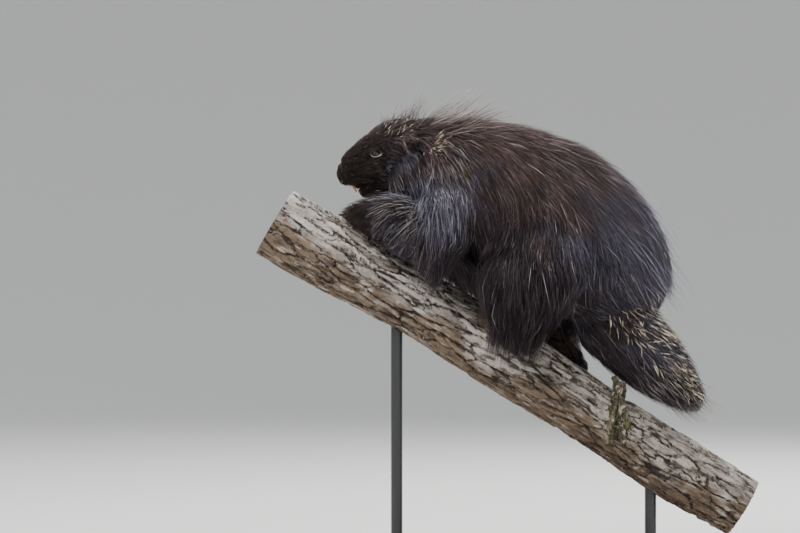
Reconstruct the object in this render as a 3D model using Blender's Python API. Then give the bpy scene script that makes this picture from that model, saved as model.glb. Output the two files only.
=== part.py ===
"""A life-size porcupine climbing a cut length of sloping branch, on a plain display stand.

Metres, +Z up. The animal faces -X, its left side faces -Y, and the floor is at z = 0.
The body is made of lofts, each a smooth row of oval rings, and is parted into nodes by thin cuts.
"""
import math
import random
from collections import Counter

import bmesh
import bpy
from mathutils import Matrix, Vector
from mathutils.bvhtree import BVHTree

# The gap kept between two pieces that touch.
GAP = 0.0003

# The branch: its slope, the point of its axis above the origin, and how far it runs each way.
BRANCH_SLOPE = math.radians(30.9)
BRANCH_MIDDLE = Vector((0.0, 0.0, 0.267))
BRANCH_UPPER_LENGTH = 0.372
BRANCH_LOWER_LENGTH = 0.340
BRANCH_UPPER_RADIUS = 0.047
BRANCH_LOWER_RADIUS = 0.0405
BRANCH_SIDES = 14
STUB_AT = -0.128
STUB_ROUND = -0.027
STUB_HEIGHT = 0.052

# The stand: a flat plate and two rods.
PLATE_SIZE = Vector((0.46, 0.30, 0.020))
ROD_RADIUS = 0.0075
ROD_PLACES = {"stand_rod_front": 0.19, "stand_rod_rear": -0.20}

# The head: its nose tip, its length, and how far the muzzle points down.
NOSE_TIP = Vector((-0.2366, 0.0, 0.5230))
HEAD_PITCH = math.radians(22)
EYE_RADIUS = 0.0062
EYE_BACK = 0.0545
EYE_ASIDE = 0.0262
EYE_ABOVE = 0.0035
LID_THICKNESS = 0.0022

# The coat: how deep the solid core of each part lies below the tips, how deep a root sits in it,
# how thick a lock and a quill are, and how clear they stay of every other part.
BODY_INSET = 0.0115
TAIL_INSET = 0.0090
LEG_INSET = 0.0070
LOCK_ROOT_DEPTH = 0.0035
LOCK_THICK = 0.0016
QUILL_RADIUS = 0.0011
CLEARANCES = (0.0, 0.0003, 0.0006)

# How far along a strand its points lie, and how wide a lock is at all but the last of them.
QUILL_POINTS = (0.0, 1.0)
SHORT_POINTS = (0.0, 0.55, 1.0)
SHORT_WIDTHS = (0.80, 1.0)
LONG_POINTS = (0.0, 0.42, 0.80, 1.0)
LONG_WIDTHS = (0.72, 1.0, 0.62)
LONG_FROM = 0.04
STRAND_TAPER = 0.35

# How locks vary: a share of their size, metres of height, radians of roll, and shares of a space.
VARIED_SIZE = (0.88, 1.12)
VARIED_RISE = (-0.0015, 0.0025)
VARIED_ROLL = (0.05, 0.13)
VARIED_PLACE = 0.006
VARIED_ROUND = 0.12

# A coat is laid again until its mesh is as closed as its core, corners this near being one.
STORED_STEP = 1e-7
COAT_ATTEMPTS = 12
COAT_SEED = 30

UP = Vector((0, 0, 1))
SIDE = Vector((0, 1, 0))

ALONG_BRANCH = Vector((-math.cos(BRANCH_SLOPE), 0, math.sin(BRANCH_SLOPE)))
OFF_BRANCH = Vector((math.sin(BRANCH_SLOPE), 0, math.cos(BRANCH_SLOPE)))


def clear_scene():
    for obj in list(bpy.data.objects):
        bpy.data.objects.remove(obj)


def material(name, colour, roughness, metallic=0.0):
    made = bpy.data.materials.new(name)
    made.use_nodes = True
    shader = made.node_tree.nodes["Principled BSDF"]
    shader.inputs["Base Color"].default_value = (*colour, 1)
    shader.inputs["Roughness"].default_value = roughness
    shader.inputs["Metallic"].default_value = metallic
    return made


# Rings, lofts and Booleans, which every piece below is made with.


class Station:
    """One oval ring of a loft: its centre, half its height and half its width, and which way is up."""

    def __init__(self, x, y, z, half_height, half_width, up=UP, power=2.0):
        self.centre = Vector((x, y, z))
        self.half_height = half_height
        self.half_width = half_width
        self.up = Vector(up).normalized()
        self.power = power

    def values(self):
        return [*self.centre, self.half_height, self.half_width, *self.up, self.power]

    def mirrored(self):
        """The same ring on the other side of the body."""
        x, y, z = self.centre
        up = Vector((self.up.x, -self.up.y, self.up.z))
        return Station(x, -y, z, self.half_height, self.half_width, up, self.power)


def between(stations, place):
    """The ring at a place along the stations, from 0 to 1, on a smooth curve through them."""
    spans = len(stations) - 1
    index = min(int(place * spans), spans - 1)
    t = place * spans - index
    rows = [stations[max(0, min(spans, index + step))].values() for step in (-1, 0, 1, 2)]
    mixed = []
    for a, b, c, d in zip(*rows):
        bend = (2 * a - 5 * b + 4 * c - d) * t * t + (3 * b - a - 3 * c + d) * t * t * t
        mixed.append((2 * b + (c - a) * t + bend) / 2)
    return Station(*mixed[:5], mixed[5:8], mixed[8])


def rounded_ends(stations, start_round, end_round):
    """Rings added beyond each end, which close it as a dome of the given share of its radius."""
    made = list(stations)
    for share, at_start in ((start_round, True), (end_round, False)):
        if share == 0:
            continue
        last, before = (made[0], made[1]) if at_start else (made[-1], made[-2])
        outward = (last.centre - before.centre).normalized()
        reach = min(last.half_height, last.half_width) * share
        dome = []
        for angle in (40, 72):
            turn = math.radians(angle)
            centre = last.centre + outward * reach * math.sin(turn)
            scale = math.cos(turn)
            dome.append(
                Station(*centre, last.half_height * scale, last.half_width * scale, last.up, last.power)
            )
        made = dome[::-1] + made if at_start else made + dome
    return made


def ring_points(station, forward, sides, extra):
    up = (station.up - forward * station.up.dot(forward)).normalized()
    across = forward.cross(up)
    half_height = station.half_height + extra
    half_width = station.half_width + extra
    points = []
    for number in range(sides):
        angle = 2 * math.pi * number / sides
        c, s = math.cos(angle), math.sin(angle)
        shrink = (abs(c) ** station.power + abs(s) ** station.power) ** (-1 / station.power)
        points.append(station.centre + (across * c * half_width + up * s * half_height) * shrink)
    return points


def loft_mesh(stations, rows, sides, ends=(0.8, 0.8), extra=0.0, shape=None):
    """A closed bmesh through the stations. shape may move each point: shape(point, place)."""
    smooth = [between(stations, row / (rows - 1)) for row in range(rows)]
    smooth = rounded_ends(smooth, *ends)
    bm = bmesh.new()
    rings = []
    for index, station in enumerate(smooth):
        ahead = smooth[min(index + 1, len(smooth) - 1)].centre
        behind = smooth[max(index - 1, 0)].centre
        points = ring_points(station, (ahead - behind).normalized(), sides, extra)
        if shape:
            points = [shape(point, index / (len(smooth) - 1)) for point in points]
        rings.append([bm.verts.new(point) for point in points])
    for near, far in zip(rings, rings[1:]):
        for number in range(sides):
            after = (number + 1) % sides
            bm.faces.new((near[number], near[after], far[after], far[number]))
    bm.faces.new(rings[0][::-1])
    bm.faces.new(rings[-1])
    bmesh.ops.recalc_face_normals(bm, faces=bm.faces)
    return bm


def new_object(name, bm, made_of=None):
    """An object of the bmesh, in triangles, because the cuts need flat faces."""
    bmesh.ops.triangulate(bm, faces=bm.faces)
    mesh = bpy.data.meshes.new(name)
    bm.to_mesh(mesh)
    bm.free()
    obj = bpy.data.objects.new(name, mesh)
    bpy.context.scene.collection.objects.link(obj)
    if made_of:
        mesh.materials.append(made_of)
    return obj


def loft(name, stations, rows, sides, made_of=None, **how):
    return new_object(name, loft_mesh(stations, rows, sides, **how), made_of)


def grown(obj, amount=GAP * 1.15):
    """A copy of a closed mesh with its surface moved outwards."""
    bm = bmesh.new()
    bm.from_mesh(obj.data)
    bm.normal_update()
    moves = [vert.co + vert.normal * amount * vert.calc_shell_factor() for vert in bm.verts]
    for vert, place in zip(bm.verts, moves):
        vert.co = place
    return new_object(obj.name + "_grown", bm)


def largest_surface(mesh):
    """A bmesh of the closed surface that holds most, without loose scraps or sealed hollows."""
    bm = bmesh.new()
    bm.from_mesh(mesh)
    left = set(bm.faces)
    islands = []
    while left:
        todo = [left.pop()]
        island = list(todo)
        while todo:
            for edge in todo.pop().edges:
                for face in edge.link_faces:
                    if face in left:
                        left.remove(face)
                        island.append(face)
                        todo.append(face)
        corners = [vert.co for face in island for vert in face.verts]
        low = Vector(min(corner[axis] for corner in corners) for axis in range(3))
        high = Vector(max(corner[axis] for corner in corners) for axis in range(3))
        islands.append(((high - low).length, island))
    islands.sort(key=lambda pair: pair[0])
    scraps = [face for _, island in islands[:-1] for face in island]
    bmesh.ops.delete(bm, geom=scraps, context="FACES")
    return bm


def combine(obj, others, operation, solvers=("EXACT", "MANIFOLD")):
    """Applies one Boolean of obj with the other objects, which are then removed.

    Where the exact solver leaves an edge open or shared by four faces, the manifold one is used.
    """
    group = bpy.data.collections.new(obj.name + "_pieces")
    for other in others:
        group.objects.link(other)
    cut = obj.modifiers.new("combine", "BOOLEAN")
    cut.operation = operation
    cut.operand_type = "COLLECTION"
    cut.collection = group
    for solver in solvers:
        cut.solver = solver
        bpy.context.view_layer.update()
        graph = bpy.context.evaluated_depsgraph_get()
        made = bpy.data.meshes.new_from_object(obj.evaluated_get(graph))
        bm = largest_surface(made)
        closed = all(edge.is_manifold for edge in bm.edges)
        if closed or solver == solvers[-1]:
            bm.to_mesh(made)
        bm.free()
        if closed:
            break
    obj.modifiers.clear()
    obj.data = made
    for other in others:
        bpy.data.objects.remove(other)
    bpy.data.collections.remove(group)
    return obj


def subtract(obj, others):
    return combine(obj, others, "DIFFERENCE")


def unite(obj, others):
    return combine(obj, others, "UNION")


def unite_many(obj, others):
    """The same for a coat's many locks, where the exact solver is slow."""
    return combine(obj, others, "UNION", ("MANIFOLD",))


def half_space(point, outward, gap, size=1.0):
    """A large box, used to cut, whose near face stands the gap short of the point."""
    bm = bmesh.new()
    bmesh.ops.create_cube(bm, size=size)
    bmesh.ops.translate(bm, vec=(0, 0, size / 2 - gap), verts=bm.verts)
    turn = outward.to_track_quat("Z", "Y").to_matrix()
    bmesh.ops.rotate(bm, cent=(0, 0, 0), matrix=turn, verts=bm.verts)
    bmesh.ops.translate(bm, vec=point, verts=bm.verts)
    return new_object("half_space", bm)


# The branch, and places on it.


def branch_centre(along):
    """A point of the branch's slightly wandering axis, measured up the slope from its middle."""
    rise = 0.006 * math.sin(along * 7.5 + 0.6) + 0.10 * max(0.0, along - 0.22) ** 2
    sway = 0.005 * math.sin(along * 9.0)
    return BRANCH_MIDDLE + ALONG_BRANCH * along + OFF_BRANCH * rise + SIDE * sway


def branch_radius(along):
    share = (along + BRANCH_LOWER_LENGTH) / (BRANCH_LOWER_LENGTH + BRANCH_UPPER_LENGTH)
    even = BRANCH_LOWER_RADIUS + (BRANCH_UPPER_RADIUS - BRANCH_LOWER_RADIUS) * share
    return even * (1 + 0.035 * math.sin(along * 23 + 1.0))


def off_branch(angle):
    """The direction straight out of the branch, turned from its top towards the animal's right."""
    return OFF_BRANCH * math.cos(angle) + SIDE * math.sin(angle)


def on_branch(along, round_bark, lift):
    """A point above the bark: metres up the slope, metres round the bark from its top, height."""
    angle = round_bark / branch_radius(along)
    return branch_centre(along) + off_branch(angle) * (branch_radius(along) + lift)


def resting(place, lift, half_height, half_width):
    """A ring that stands square to the bark."""
    along, round_bark = place
    up = off_branch(round_bark / branch_radius(along))
    return Station(*on_branch(along, round_bark, lift), half_height, half_width, up)


def make_branch(made_of):
    count = 13
    stations = []
    for number in range(count):
        along = -BRANCH_LOWER_LENGTH + (BRANCH_LOWER_LENGTH + BRANCH_UPPER_LENGTH) * number / (count - 1)
        radius = branch_radius(along)
        stations.append(Station(*branch_centre(along), radius, radius, OFF_BRANCH))
    branch = loft("perch_branch", stations, count, BRANCH_SIDES, made_of, ends=(0, 0))
    foot = on_branch(STUB_AT, STUB_ROUND, -0.014)
    tip = foot + UP * (STUB_HEIGHT + 0.014) + SIDE * -0.004
    prong = foot.lerp(tip, 0.55)
    stub = loft(
        "stub",
        [
            Station(*foot, 0.0145, 0.017, SIDE),
            Station(*foot.lerp(tip, 0.35), 0.0105, 0.0115, SIDE),
            Station(*foot.lerp(tip, 0.7), 0.0075, 0.0085, SIDE),
            Station(*tip, 0.0055, 0.0060, SIDE),
        ],
        5,
        7,
        ends=(0, 0.3),
    )
    fork = loft(
        "fork",
        [
            Station(*prong, 0.0052, 0.0052, SIDE),
            Station(*(prong + Vector((0.009, -0.004, 0.011))), 0.0045, 0.0050, SIDE),
            Station(*(prong + Vector((0.013, -0.006, 0.021))), 0.0040, 0.0048, SIDE),
        ],
        3,
        6,
        ends=(0, 0.3),
    )
    return unite(branch, [stub, fork])


# The stand.


def make_stand(branch, wood, metal):
    bm = bmesh.new()
    bmesh.ops.create_cube(bm, size=1)
    bmesh.ops.scale(bm, vec=PLATE_SIZE, verts=bm.verts)
    bmesh.ops.translate(bm, vec=(0, 0, PLATE_SIZE.z / 2), verts=bm.verts)
    upright = [edge for edge in bm.edges if abs(edge.verts[0].co.z - edge.verts[1].co.z) > GAP]
    bmesh.ops.bevel(bm, geom=upright, offset=0.03, segments=4, profile=0.5, affect="EDGES")
    top = [face for face in bm.faces if face.normal.z > 0.9]
    rim = [edge for face in top for edge in face.edges]
    bmesh.ops.bevel(bm, geom=rim, offset=0.003, segments=1, profile=0.5, affect="EDGES")
    new_object("stand_base", bm, wood)
    cutter = grown(branch)
    for name, along in ROD_PLACES.items():
        axis = branch_centre(along)
        bottom = PLATE_SIZE.z + GAP
        top = axis.z - branch_radius(along) * 0.5
        bm = bmesh.new()
        bmesh.ops.create_cone(
            bm, cap_ends=True, segments=12, radius1=ROD_RADIUS, radius2=ROD_RADIUS, depth=top - bottom
        )
        bmesh.ops.translate(bm, vec=(axis.x, axis.y, (top + bottom) / 2), verts=bm.verts)
        rod = new_object(name, bm, metal)
        copy = cutter.copy()
        bpy.context.scene.collection.objects.link(copy)
        subtract(rod, [copy])
    bpy.data.objects.remove(cutter)


# The animal's flesh, out to the tips of its coat.

BODY = [
    Station(-0.1600, 0, 0.5400, 0.0550, 0.0480),
    Station(-0.1330, 0, 0.5300, 0.0665, 0.0560),
    Station(-0.0950, 0, 0.5130, 0.0835, 0.0710),
    Station(-0.0500, 0, 0.4950, 0.0990, 0.0880),
    Station(-0.0090, 0, 0.4765, 0.1075, 0.0990),
    Station(0.0430, 0, 0.4510, 0.1115, 0.1070),
    Station(0.0900, 0, 0.4225, 0.1020, 0.1040),
    Station(0.1290, 0, 0.3900, 0.0800, 0.0830),
    Station(0.1500, 0, 0.3650, 0.0560, 0.0560),
]

# The neck is parted from the torso by one slanting cut in front of the shoulder.
NECK_CUT = Vector((-0.1080, 0, 0.5190))
NECK_CUT_NORMAL = Vector((0.930, 0, -0.368))

TAIL = [
    Station(0.1080, 0, 0.3450, 0.0560, 0.0540),
    Station(0.1420, 0, 0.3060, 0.0490, 0.0500),
    Station(0.1760, 0, 0.2710, 0.0410, 0.0440),
    Station(0.2050, 0, 0.2430, 0.0285, 0.0330),
    Station(0.2240, 0, 0.2240, 0.0165, 0.0190),
]


def make_body(name, made_of=None):
    """The neck, back and belly in one, before they are parted."""
    return loft(name, BODY, 13, 18, made_of, ends=(0.3, 0.6), extra=-BODY_INSET)


# Head rings, by how far back from the nose tip: the centre's height, half height, half width.
HEAD_RINGS = [
    (0.0015, -0.001, 0.0080, 0.0095, 2.0),
    (0.0060, -0.003, 0.0155, 0.0150, 2.3),
    (0.0150, -0.004, 0.0220, 0.0190, 2.4),
    (0.0290, -0.0045, 0.0270, 0.0235, 2.3),
    (0.0450, -0.0045, 0.0315, 0.0290, 2.2),
    (0.0620, -0.0045, 0.0350, 0.0345, 2.1),
    (0.0800, -0.0035, 0.0370, 0.0375, 2.0),
    (0.0960, -0.0015, 0.0345, 0.0360, 2.0),
    (0.1080, 0.0000, 0.0270, 0.0290, 2.0),
]

HEAD_BACK = Vector((math.cos(HEAD_PITCH), 0, math.sin(HEAD_PITCH)))
HEAD_UP = Vector((-math.sin(HEAD_PITCH), 0, math.cos(HEAD_PITCH)))


def on_head(back, aside, above):
    """A point by its distance back from the nose tip, to the animal's right, and above the axis."""
    return NOSE_TIP + HEAD_BACK * back + SIDE * aside + HEAD_UP * above


def head_stations():
    rings = []
    for back, above, half_height, half_width, power in HEAD_RINGS:
        rings.append(Station(*on_head(back, 0, above), half_height, half_width, HEAD_UP, power))
    return rings


def ball(name, centre, radius, segments=14, rings=9, scale=(1, 1, 1), turn=None):
    bm = bmesh.new()
    bmesh.ops.create_uvsphere(bm, u_segments=segments, v_segments=rings, radius=radius)
    bmesh.ops.scale(bm, vec=scale, verts=bm.verts)
    if turn:
        bmesh.ops.rotate(bm, cent=(0, 0, 0), matrix=turn, verts=bm.verts)
    bmesh.ops.translate(bm, vec=centre, verts=bm.verts)
    return new_object(name, bm)


def head_turn():
    """The rotation from the world's axes to the head's: X back, Y right, Z up."""
    return Matrix((HEAD_BACK, SIDE, HEAD_UP)).transposed()


def eye_place(side):
    return on_head(EYE_BACK, side * EYE_ASIDE, EYE_ABOVE)


def make_head(fur):
    head = loft("head", head_stations(), 12, 16, fur, ends=(0.5, 0.5))
    turn = head_turn()
    lids = []
    nostrils = []
    for side in (-1, 1):
        lids.append(ball("lids", eye_place(side), EYE_RADIUS + LID_THICKNESS, 12, 7, turn=turn))
        lids.append(ball("wing", on_head(0.0075, side * 0.0080, 0.0035), 0.0062, 7, 5, turn=turn))
        nostrils.append(
            ball("nostril", on_head(0.0045, side * 0.0088, 0.0030), 0.0032, 7, 5, (1.3, 1.0, 0.8), turn)
        )
    unite(head, lids)
    mouth = loft(
        "mouth",
        [
            Station(*on_head(-0.002, 0, -0.0180), 0.0007, 0.030, HEAD_UP),
            Station(*on_head(0.016, 0, -0.0165), 0.0010, 0.030, HEAD_UP),
            Station(*on_head(0.030, 0, -0.0150), 0.0006, 0.027, HEAD_UP),
        ],
        4,
        6,
        ends=(0, 0),
    )
    almonds = []
    for side in (-1, 1):
        lid_turn = turn @ Matrix.Rotation(side * math.radians(-18), 3, "Z")
        outward = on_head(EYE_BACK, side * (EYE_ASIDE + EYE_RADIUS), EYE_ABOVE)
        almonds.append(ball("almond", outward, 0.0052, 10, 5, (1.0, 1.1, 0.62), lid_turn))
    subtract(head, nostrils + [mouth] + almonds)
    sockets = []
    for side in (-1, 1):
        sockets.append(ball("socket", eye_place(side), EYE_RADIUS + GAP * 1.3, 10, 7, turn=turn))
    return subtract(head, sockets)


def make_eyes(made_of):
    for side, name in ((-1, "eye_left"), (1, "eye_right")):
        eye = ball(name, eye_place(side), EYE_RADIUS, 10, 7, turn=head_turn())
        eye.data.materials.append(made_of)


def make_ears(head, neck, fur):
    """Low round ears, cupped in front, half hidden in the coat."""
    for side, name in ((-1, "ear_left"), (1, "ear_right")):
        turn = head_turn() @ Matrix.Rotation(side * math.radians(35), 3, "Z")
        turn = turn @ Matrix.Rotation(side * math.radians(-42), 3, "X")
        root = on_head(0.0970, side * 0.0320, 0.0040)
        up = turn @ UP
        front = turn @ Vector((-1, 0, 0))
        ear = ball(name, root + up * 0.010, 0.0165, 9, 7, (0.42, 0.95, 1.15), turn)
        ear.data.materials.append(fur)
        cup = ball("cup", root + up * 0.0125 + front * 0.0068, 0.0130, 8, 5, (0.55, 0.90, 1.10), turn)
        subtract(ear, [cup, grown(head), grown(neck)])


def make_incisors(made_of, head):
    """The two orange upper front teeth, which show as one short chisel below the lip."""
    teeth = loft(
        "incisors",
        [
            Station(*on_head(0.0100, 0, -0.0190), 0.0022, 0.0034, HEAD_BACK),
            Station(*on_head(0.0085, 0, -0.0270), 0.0018, 0.0034, HEAD_BACK),
            Station(*on_head(0.0090, 0, -0.0310), 0.0008, 0.0032, HEAD_BACK),
        ],
        4,
        8,
        made_of,
        ends=(0, 0),
    )
    return subtract(teeth, [grown(head)])


# Legs and feet, given for the left side, with y negative. Each leg is two lofts and a paw.

FORE_LEG = {
    "upper": [
        Station(-0.0780, -0.0420, 0.5000, 0.0400, 0.0340, Vector((1, 0, 0))),
        Station(-0.0920, -0.0600, 0.4700, 0.0430, 0.0310, Vector((1, 0, 0))),
        Station(-0.1060, -0.0640, 0.4400, 0.0370, 0.0280, Vector((1, 0, 0))),
    ],
    "lower": [
        Station(-0.1030, -0.0630, 0.4410, 0.0370, 0.0270),
        Station(-0.1350, -0.0580, 0.4480, 0.0390, 0.0280),
        Station(-0.1650, -0.0440, 0.4600, 0.0340, 0.0250),
        Station(-0.1950, -0.0260, 0.4680, 0.0220, 0.0200),
        Station(-0.2150, -0.0130, 0.4695, 0.0130, 0.0150),
    ],
}

HIND_LEG = {
    "upper": [
        Station(0.0380, -0.0580, 0.4420, 0.0680, 0.0400, Vector((1, 0, 0.3))),
        Station(0.0200, -0.0800, 0.4080, 0.0680, 0.0380, Vector((1, 0, 0.3))),
        Station(0.0060, -0.0860, 0.3740, 0.0590, 0.0340, Vector((1, 0, 0.2))),
        Station(-0.0010, -0.0760, 0.3450, 0.0480, 0.0290, Vector((1, 0, 0.1))),
    ],
    "lower": [
        Station(-0.0010, -0.0740, 0.3520, 0.0440, 0.0270, Vector((1, 0, 0))),
        Station(-0.0040, -0.0580, 0.3280, 0.0330, 0.0240, Vector((1, 0, 0))),
        Station(-0.0060, -0.0430, 0.3130, 0.0240, 0.0200, Vector((1, 0, 0))),
    ],
}

# Feet, on the unrolled bark: how far up the slope and how far round from its top, in metres.
FORE_FOOT = {"heel": Vector((0.262, -0.008)), "toes": Vector((0.284, 0.012)), "digits": 4}
HIND_FOOT = {"heel": Vector((0.020, -0.034)), "toes": Vector((0.076, -0.036)), "digits": 5}

# Sizes of a foot: half its thickness, half its width, the space between toes, and lengths.
FORE_SIZE = {"thick": 0.0100, "wide": 0.0160, "spread": 0.0082, "reach": 0.020, "claw": 0.017}
HIND_SIZE = {"thick": 0.0115, "wide": 0.0190, "spread": 0.0082, "reach": 0.022, "claw": 0.018}

# The right feet stand further down the slope than the left ones, and further round the bark.
FAR_FORE_STEP = Vector((-0.048, -0.026))
FAR_HIND_STEP = Vector((-0.078, 0.0))
KNEE_SHARE = 0.5


def make_paw(foot, size):
    heel, toes = foot["heel"], foot["toes"]
    thick, wide = size["thick"], size["wide"]
    return loft(
        "paw",
        [
            resting(heel.lerp(toes, -0.20), thick * 1.05, thick * 1.35, wide * 0.72),
            resting(heel.lerp(toes, 0.22), thick * 0.85, thick * 1.25, wide * 0.85),
            resting(heel.lerp(toes, 0.60), thick * 0.65, thick * 1.10, wide),
            resting(toes, thick * 0.45, thick * 0.90, wide * 0.95),
        ],
        4,
        9,
    )


def toe_lines(foot, size):
    """Where each toe starts on the unrolled bark, which way it points and how long it is."""
    forward = (foot["toes"] - foot["heel"]).normalized()
    across = Vector((-forward.y, forward.x))
    lines = []
    for number in range(foot["digits"]):
        aside = number - (foot["digits"] - 1) / 2
        start = foot["toes"] - forward * 0.010 + across * aside * size["spread"] * 0.75
        way = (forward + across * aside * 0.10).normalized()
        lines.append((start, way, size["reach"] * (1 - 0.07 * aside * aside)))
    return lines


def make_toes(foot, size):
    toes = []
    for start, way, length in toe_lines(foot, size):
        rings = [
            resting(start, 0.0050, 0.0060, 0.0050),
            resting(start + way * length * 0.6, 0.0058, 0.0056, 0.0048),
            resting(start + way * length, 0.0048, 0.0042, 0.0041),
        ]
        toes.append(loft("toe", rings, 3, 5, ends=(0, 0)))
    return toes


def make_claws(limb, foot, size, horn, branch):
    """Each claw is cut to the end of its toe and clear of the bark."""
    for number, (start, way, length) in enumerate(toe_lines(foot, size)):
        root = start + way * (length - 0.003)
        rings = []
        for share, lift, half in (
            (0.00, 0.0048, 0.0028),
            (0.45, 0.0052, 0.0022),
            (0.80, 0.0036, 0.0014),
            (1.00, 0.0014, 0.0005),
        ):
            rings.append(resting(root + way * size["claw"] * share, lift, half, half * 0.86))
        claw = loft(f"{limb.name}_claw_{number + 1}", rings, 4, 4, horn, ends=(0, 0))
        subtract(claw, [grown(limb), grown(branch)])


def make_leg(name, leg, foot, side, size, beside, branch, fur, horn):
    """One leg with its foot and toes, cut clear of the flesh beside it and of the bark."""
    sides = {}
    for half, stations in leg.items():
        sides[half] = [station if side < 0 else station.mirrored() for station in stations]
    turned = Vector((1, -side))
    placed = dict(foot)
    for end in ("heel", "toes"):
        placed[end] = foot[end] * turned
    limb = loft(name, sides["upper"], 6, 12, fur, ends=(0.4, 0.6), extra=-LEG_INSET)
    lower = loft("lower", sides["lower"], 6, 10, ends=(0.4, 0.6), extra=-LEG_INSET)
    unite(limb, [lower, make_paw(placed, size)] + make_toes(placed, size))
    subtract(limb, [grown(piece) for piece in beside] + [grown(branch)])
    make_claws(limb, placed, size, horn, branch)
    return limb, sides


def stepped(leg, foot, step):
    """A leg and foot moved by a step on the unrolled bark, the hip not at all and the knee partly."""
    moved = {}
    for half, stations in leg.items():
        moved[half] = []
        for index, station in enumerate(stations):
            share = index / (len(stations) - 1)
            share = share * KNEE_SHARE if half == "upper" else KNEE_SHARE + share * (1 - KNEE_SHARE)
            centre = station.centre + (ALONG_BRANCH * step.x + SIDE * step.y) * share
            moved[half].append(
                Station(*centre, station.half_height, station.half_width, station.up, station.power)
            )
    return moved, dict(foot, heel=foot["heel"] + step, toes=foot["toes"] + step)


# The coat: flat tapered locks and round quills, rooted in a part's core and lying along its lie.


def coat_point(stations, place, degrees, height):
    """A point over a loft: its place along, the angle round from the left side, and its height.

    Past either end of the loft the point goes straight on.
    """
    within = min(max(place, 0.0), 1.0)
    ring = between(stations, within)
    ahead = between(stations, min(within + 0.01, 1.0)).centre
    behind = between(stations, max(within - 0.01, 0.0)).centre
    forward = (ahead - behind).normalized()
    up = (ring.up - forward * ring.up.dot(forward)).normalized()
    across = forward.cross(up)
    if across.y > 0:
        across = -across
    angle = math.radians(degrees)
    c, s = math.cos(angle), math.sin(angle)
    shrink = (abs(c) ** ring.power + abs(s) ** ring.power) ** (-1 / ring.power)
    spread = across * c * (ring.half_width + height) + up * s * (ring.half_height + height)
    return ring.centre + spread * shrink + forward * (place - within) * loft_length(stations)


def loft_length(stations):
    return sum((b.centre - a.centre).length for a, b in zip(stations, stations[1:]))


def mean_radius(stations, place):
    ring = between(stations, min(place, 1.0))
    return (ring.half_width + ring.half_height) / 2


class Strand:
    """The middle line of one lock or quill, with the way out of the body at each of its points."""

    def __init__(self, stations, place, degrees, along, turned, shares, heights):
        self.points = []
        self.outward = []
        for share, height in zip(shares, heights):
            here = (stations, place + along * share, degrees + turned * share)
            point = coat_point(*here, height)
            self.points.append(point)
            self.outward.append((coat_point(*here, height + LOCK_THICK) - point).normalized())

    def frame(self, number):
        """The way across and the way out, both square to the line."""
        ahead = self.points[min(number + 1, len(self.points) - 1)]
        behind = self.points[max(number - 1, 0)]
        forward = (ahead - behind).normalized()
        across = forward.cross(self.outward[number]).normalized()
        return across, across.cross(forward)


def spine_faces(rings):
    """The faces of a three-sided spine with so many rings and a tip, closed at its root."""
    faces = [(0, 2, 1)]
    for near in range(0, (rings - 1) * 3, 3):
        for corner in range(3):
            after = (corner + 1) % 3
            faces += [
                (near + corner, near + after, near + after + 3),
                (near + corner, near + after + 3, near + corner + 3),
            ]
    last = (rings - 1) * 3
    for corner in range(3):
        faces.append((last + corner, last + (corner + 1) % 3, last + 3))
    return faces


def tip_of(strand, extra):
    return strand.points[-1] + (strand.points[-1] - strand.points[-2]).normalized() * extra


def lock_shape(strand, half_widths, thick, roll, extra=0.0):
    """Points and faces of a flat lock, ridged along its back, which ends in a point.

    extra is how far each face is moved out, for a test of what the lock would touch.
    """
    points = []
    for number, half in enumerate(half_widths):
        across, out = strand.frame(number)
        turn = Matrix.Rotation(roll, 3, across.cross(out))
        across, out = turn @ across, turn @ out
        centre = strand.points[number]
        deep = thick * (1 - STRAND_TAPER * number / len(half_widths))
        points += [
            centre + across * (half + extra) - out * (deep * 0.5 + extra),
            centre + out * (deep + extra),
            centre - across * (half + extra) - out * (deep * 0.5 + extra),
        ]
    return points + [tip_of(strand, extra)], spine_faces(len(half_widths))


def quill_shape(strand, radius, extra=0.0):
    """Points and faces of a round quill in three sides, which tapers to a point."""
    points = []
    rings = len(strand.points) - 1
    for number in range(rings):
        across, out = strand.frame(number)
        wide = radius * (1 - STRAND_TAPER * number / rings) + extra
        for corner in range(3):
            angle = 2 * math.pi * corner / 3
            aside = across * math.cos(angle) + out * math.sin(angle)
            points.append(strand.points[number] + aside * wide)
    return points + [tip_of(strand, extra)], spine_faces(rings)


def piece_of_coat(points, faces):
    bm = bmesh.new()
    verts = [bm.verts.new(point) for point in points]
    for face in faces:
        bm.faces.new([verts[corner] for corner in face])
    bmesh.ops.recalc_face_normals(bm, faces=bm.faces)
    return new_object("lock", bm)


def tree_of(obj):
    """A search tree of an object's surface."""
    bm = bmesh.new()
    bm.from_mesh(obj.data)
    tree = BVHTree.FromBMesh(bm)
    bm.free()
    return tree


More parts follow.
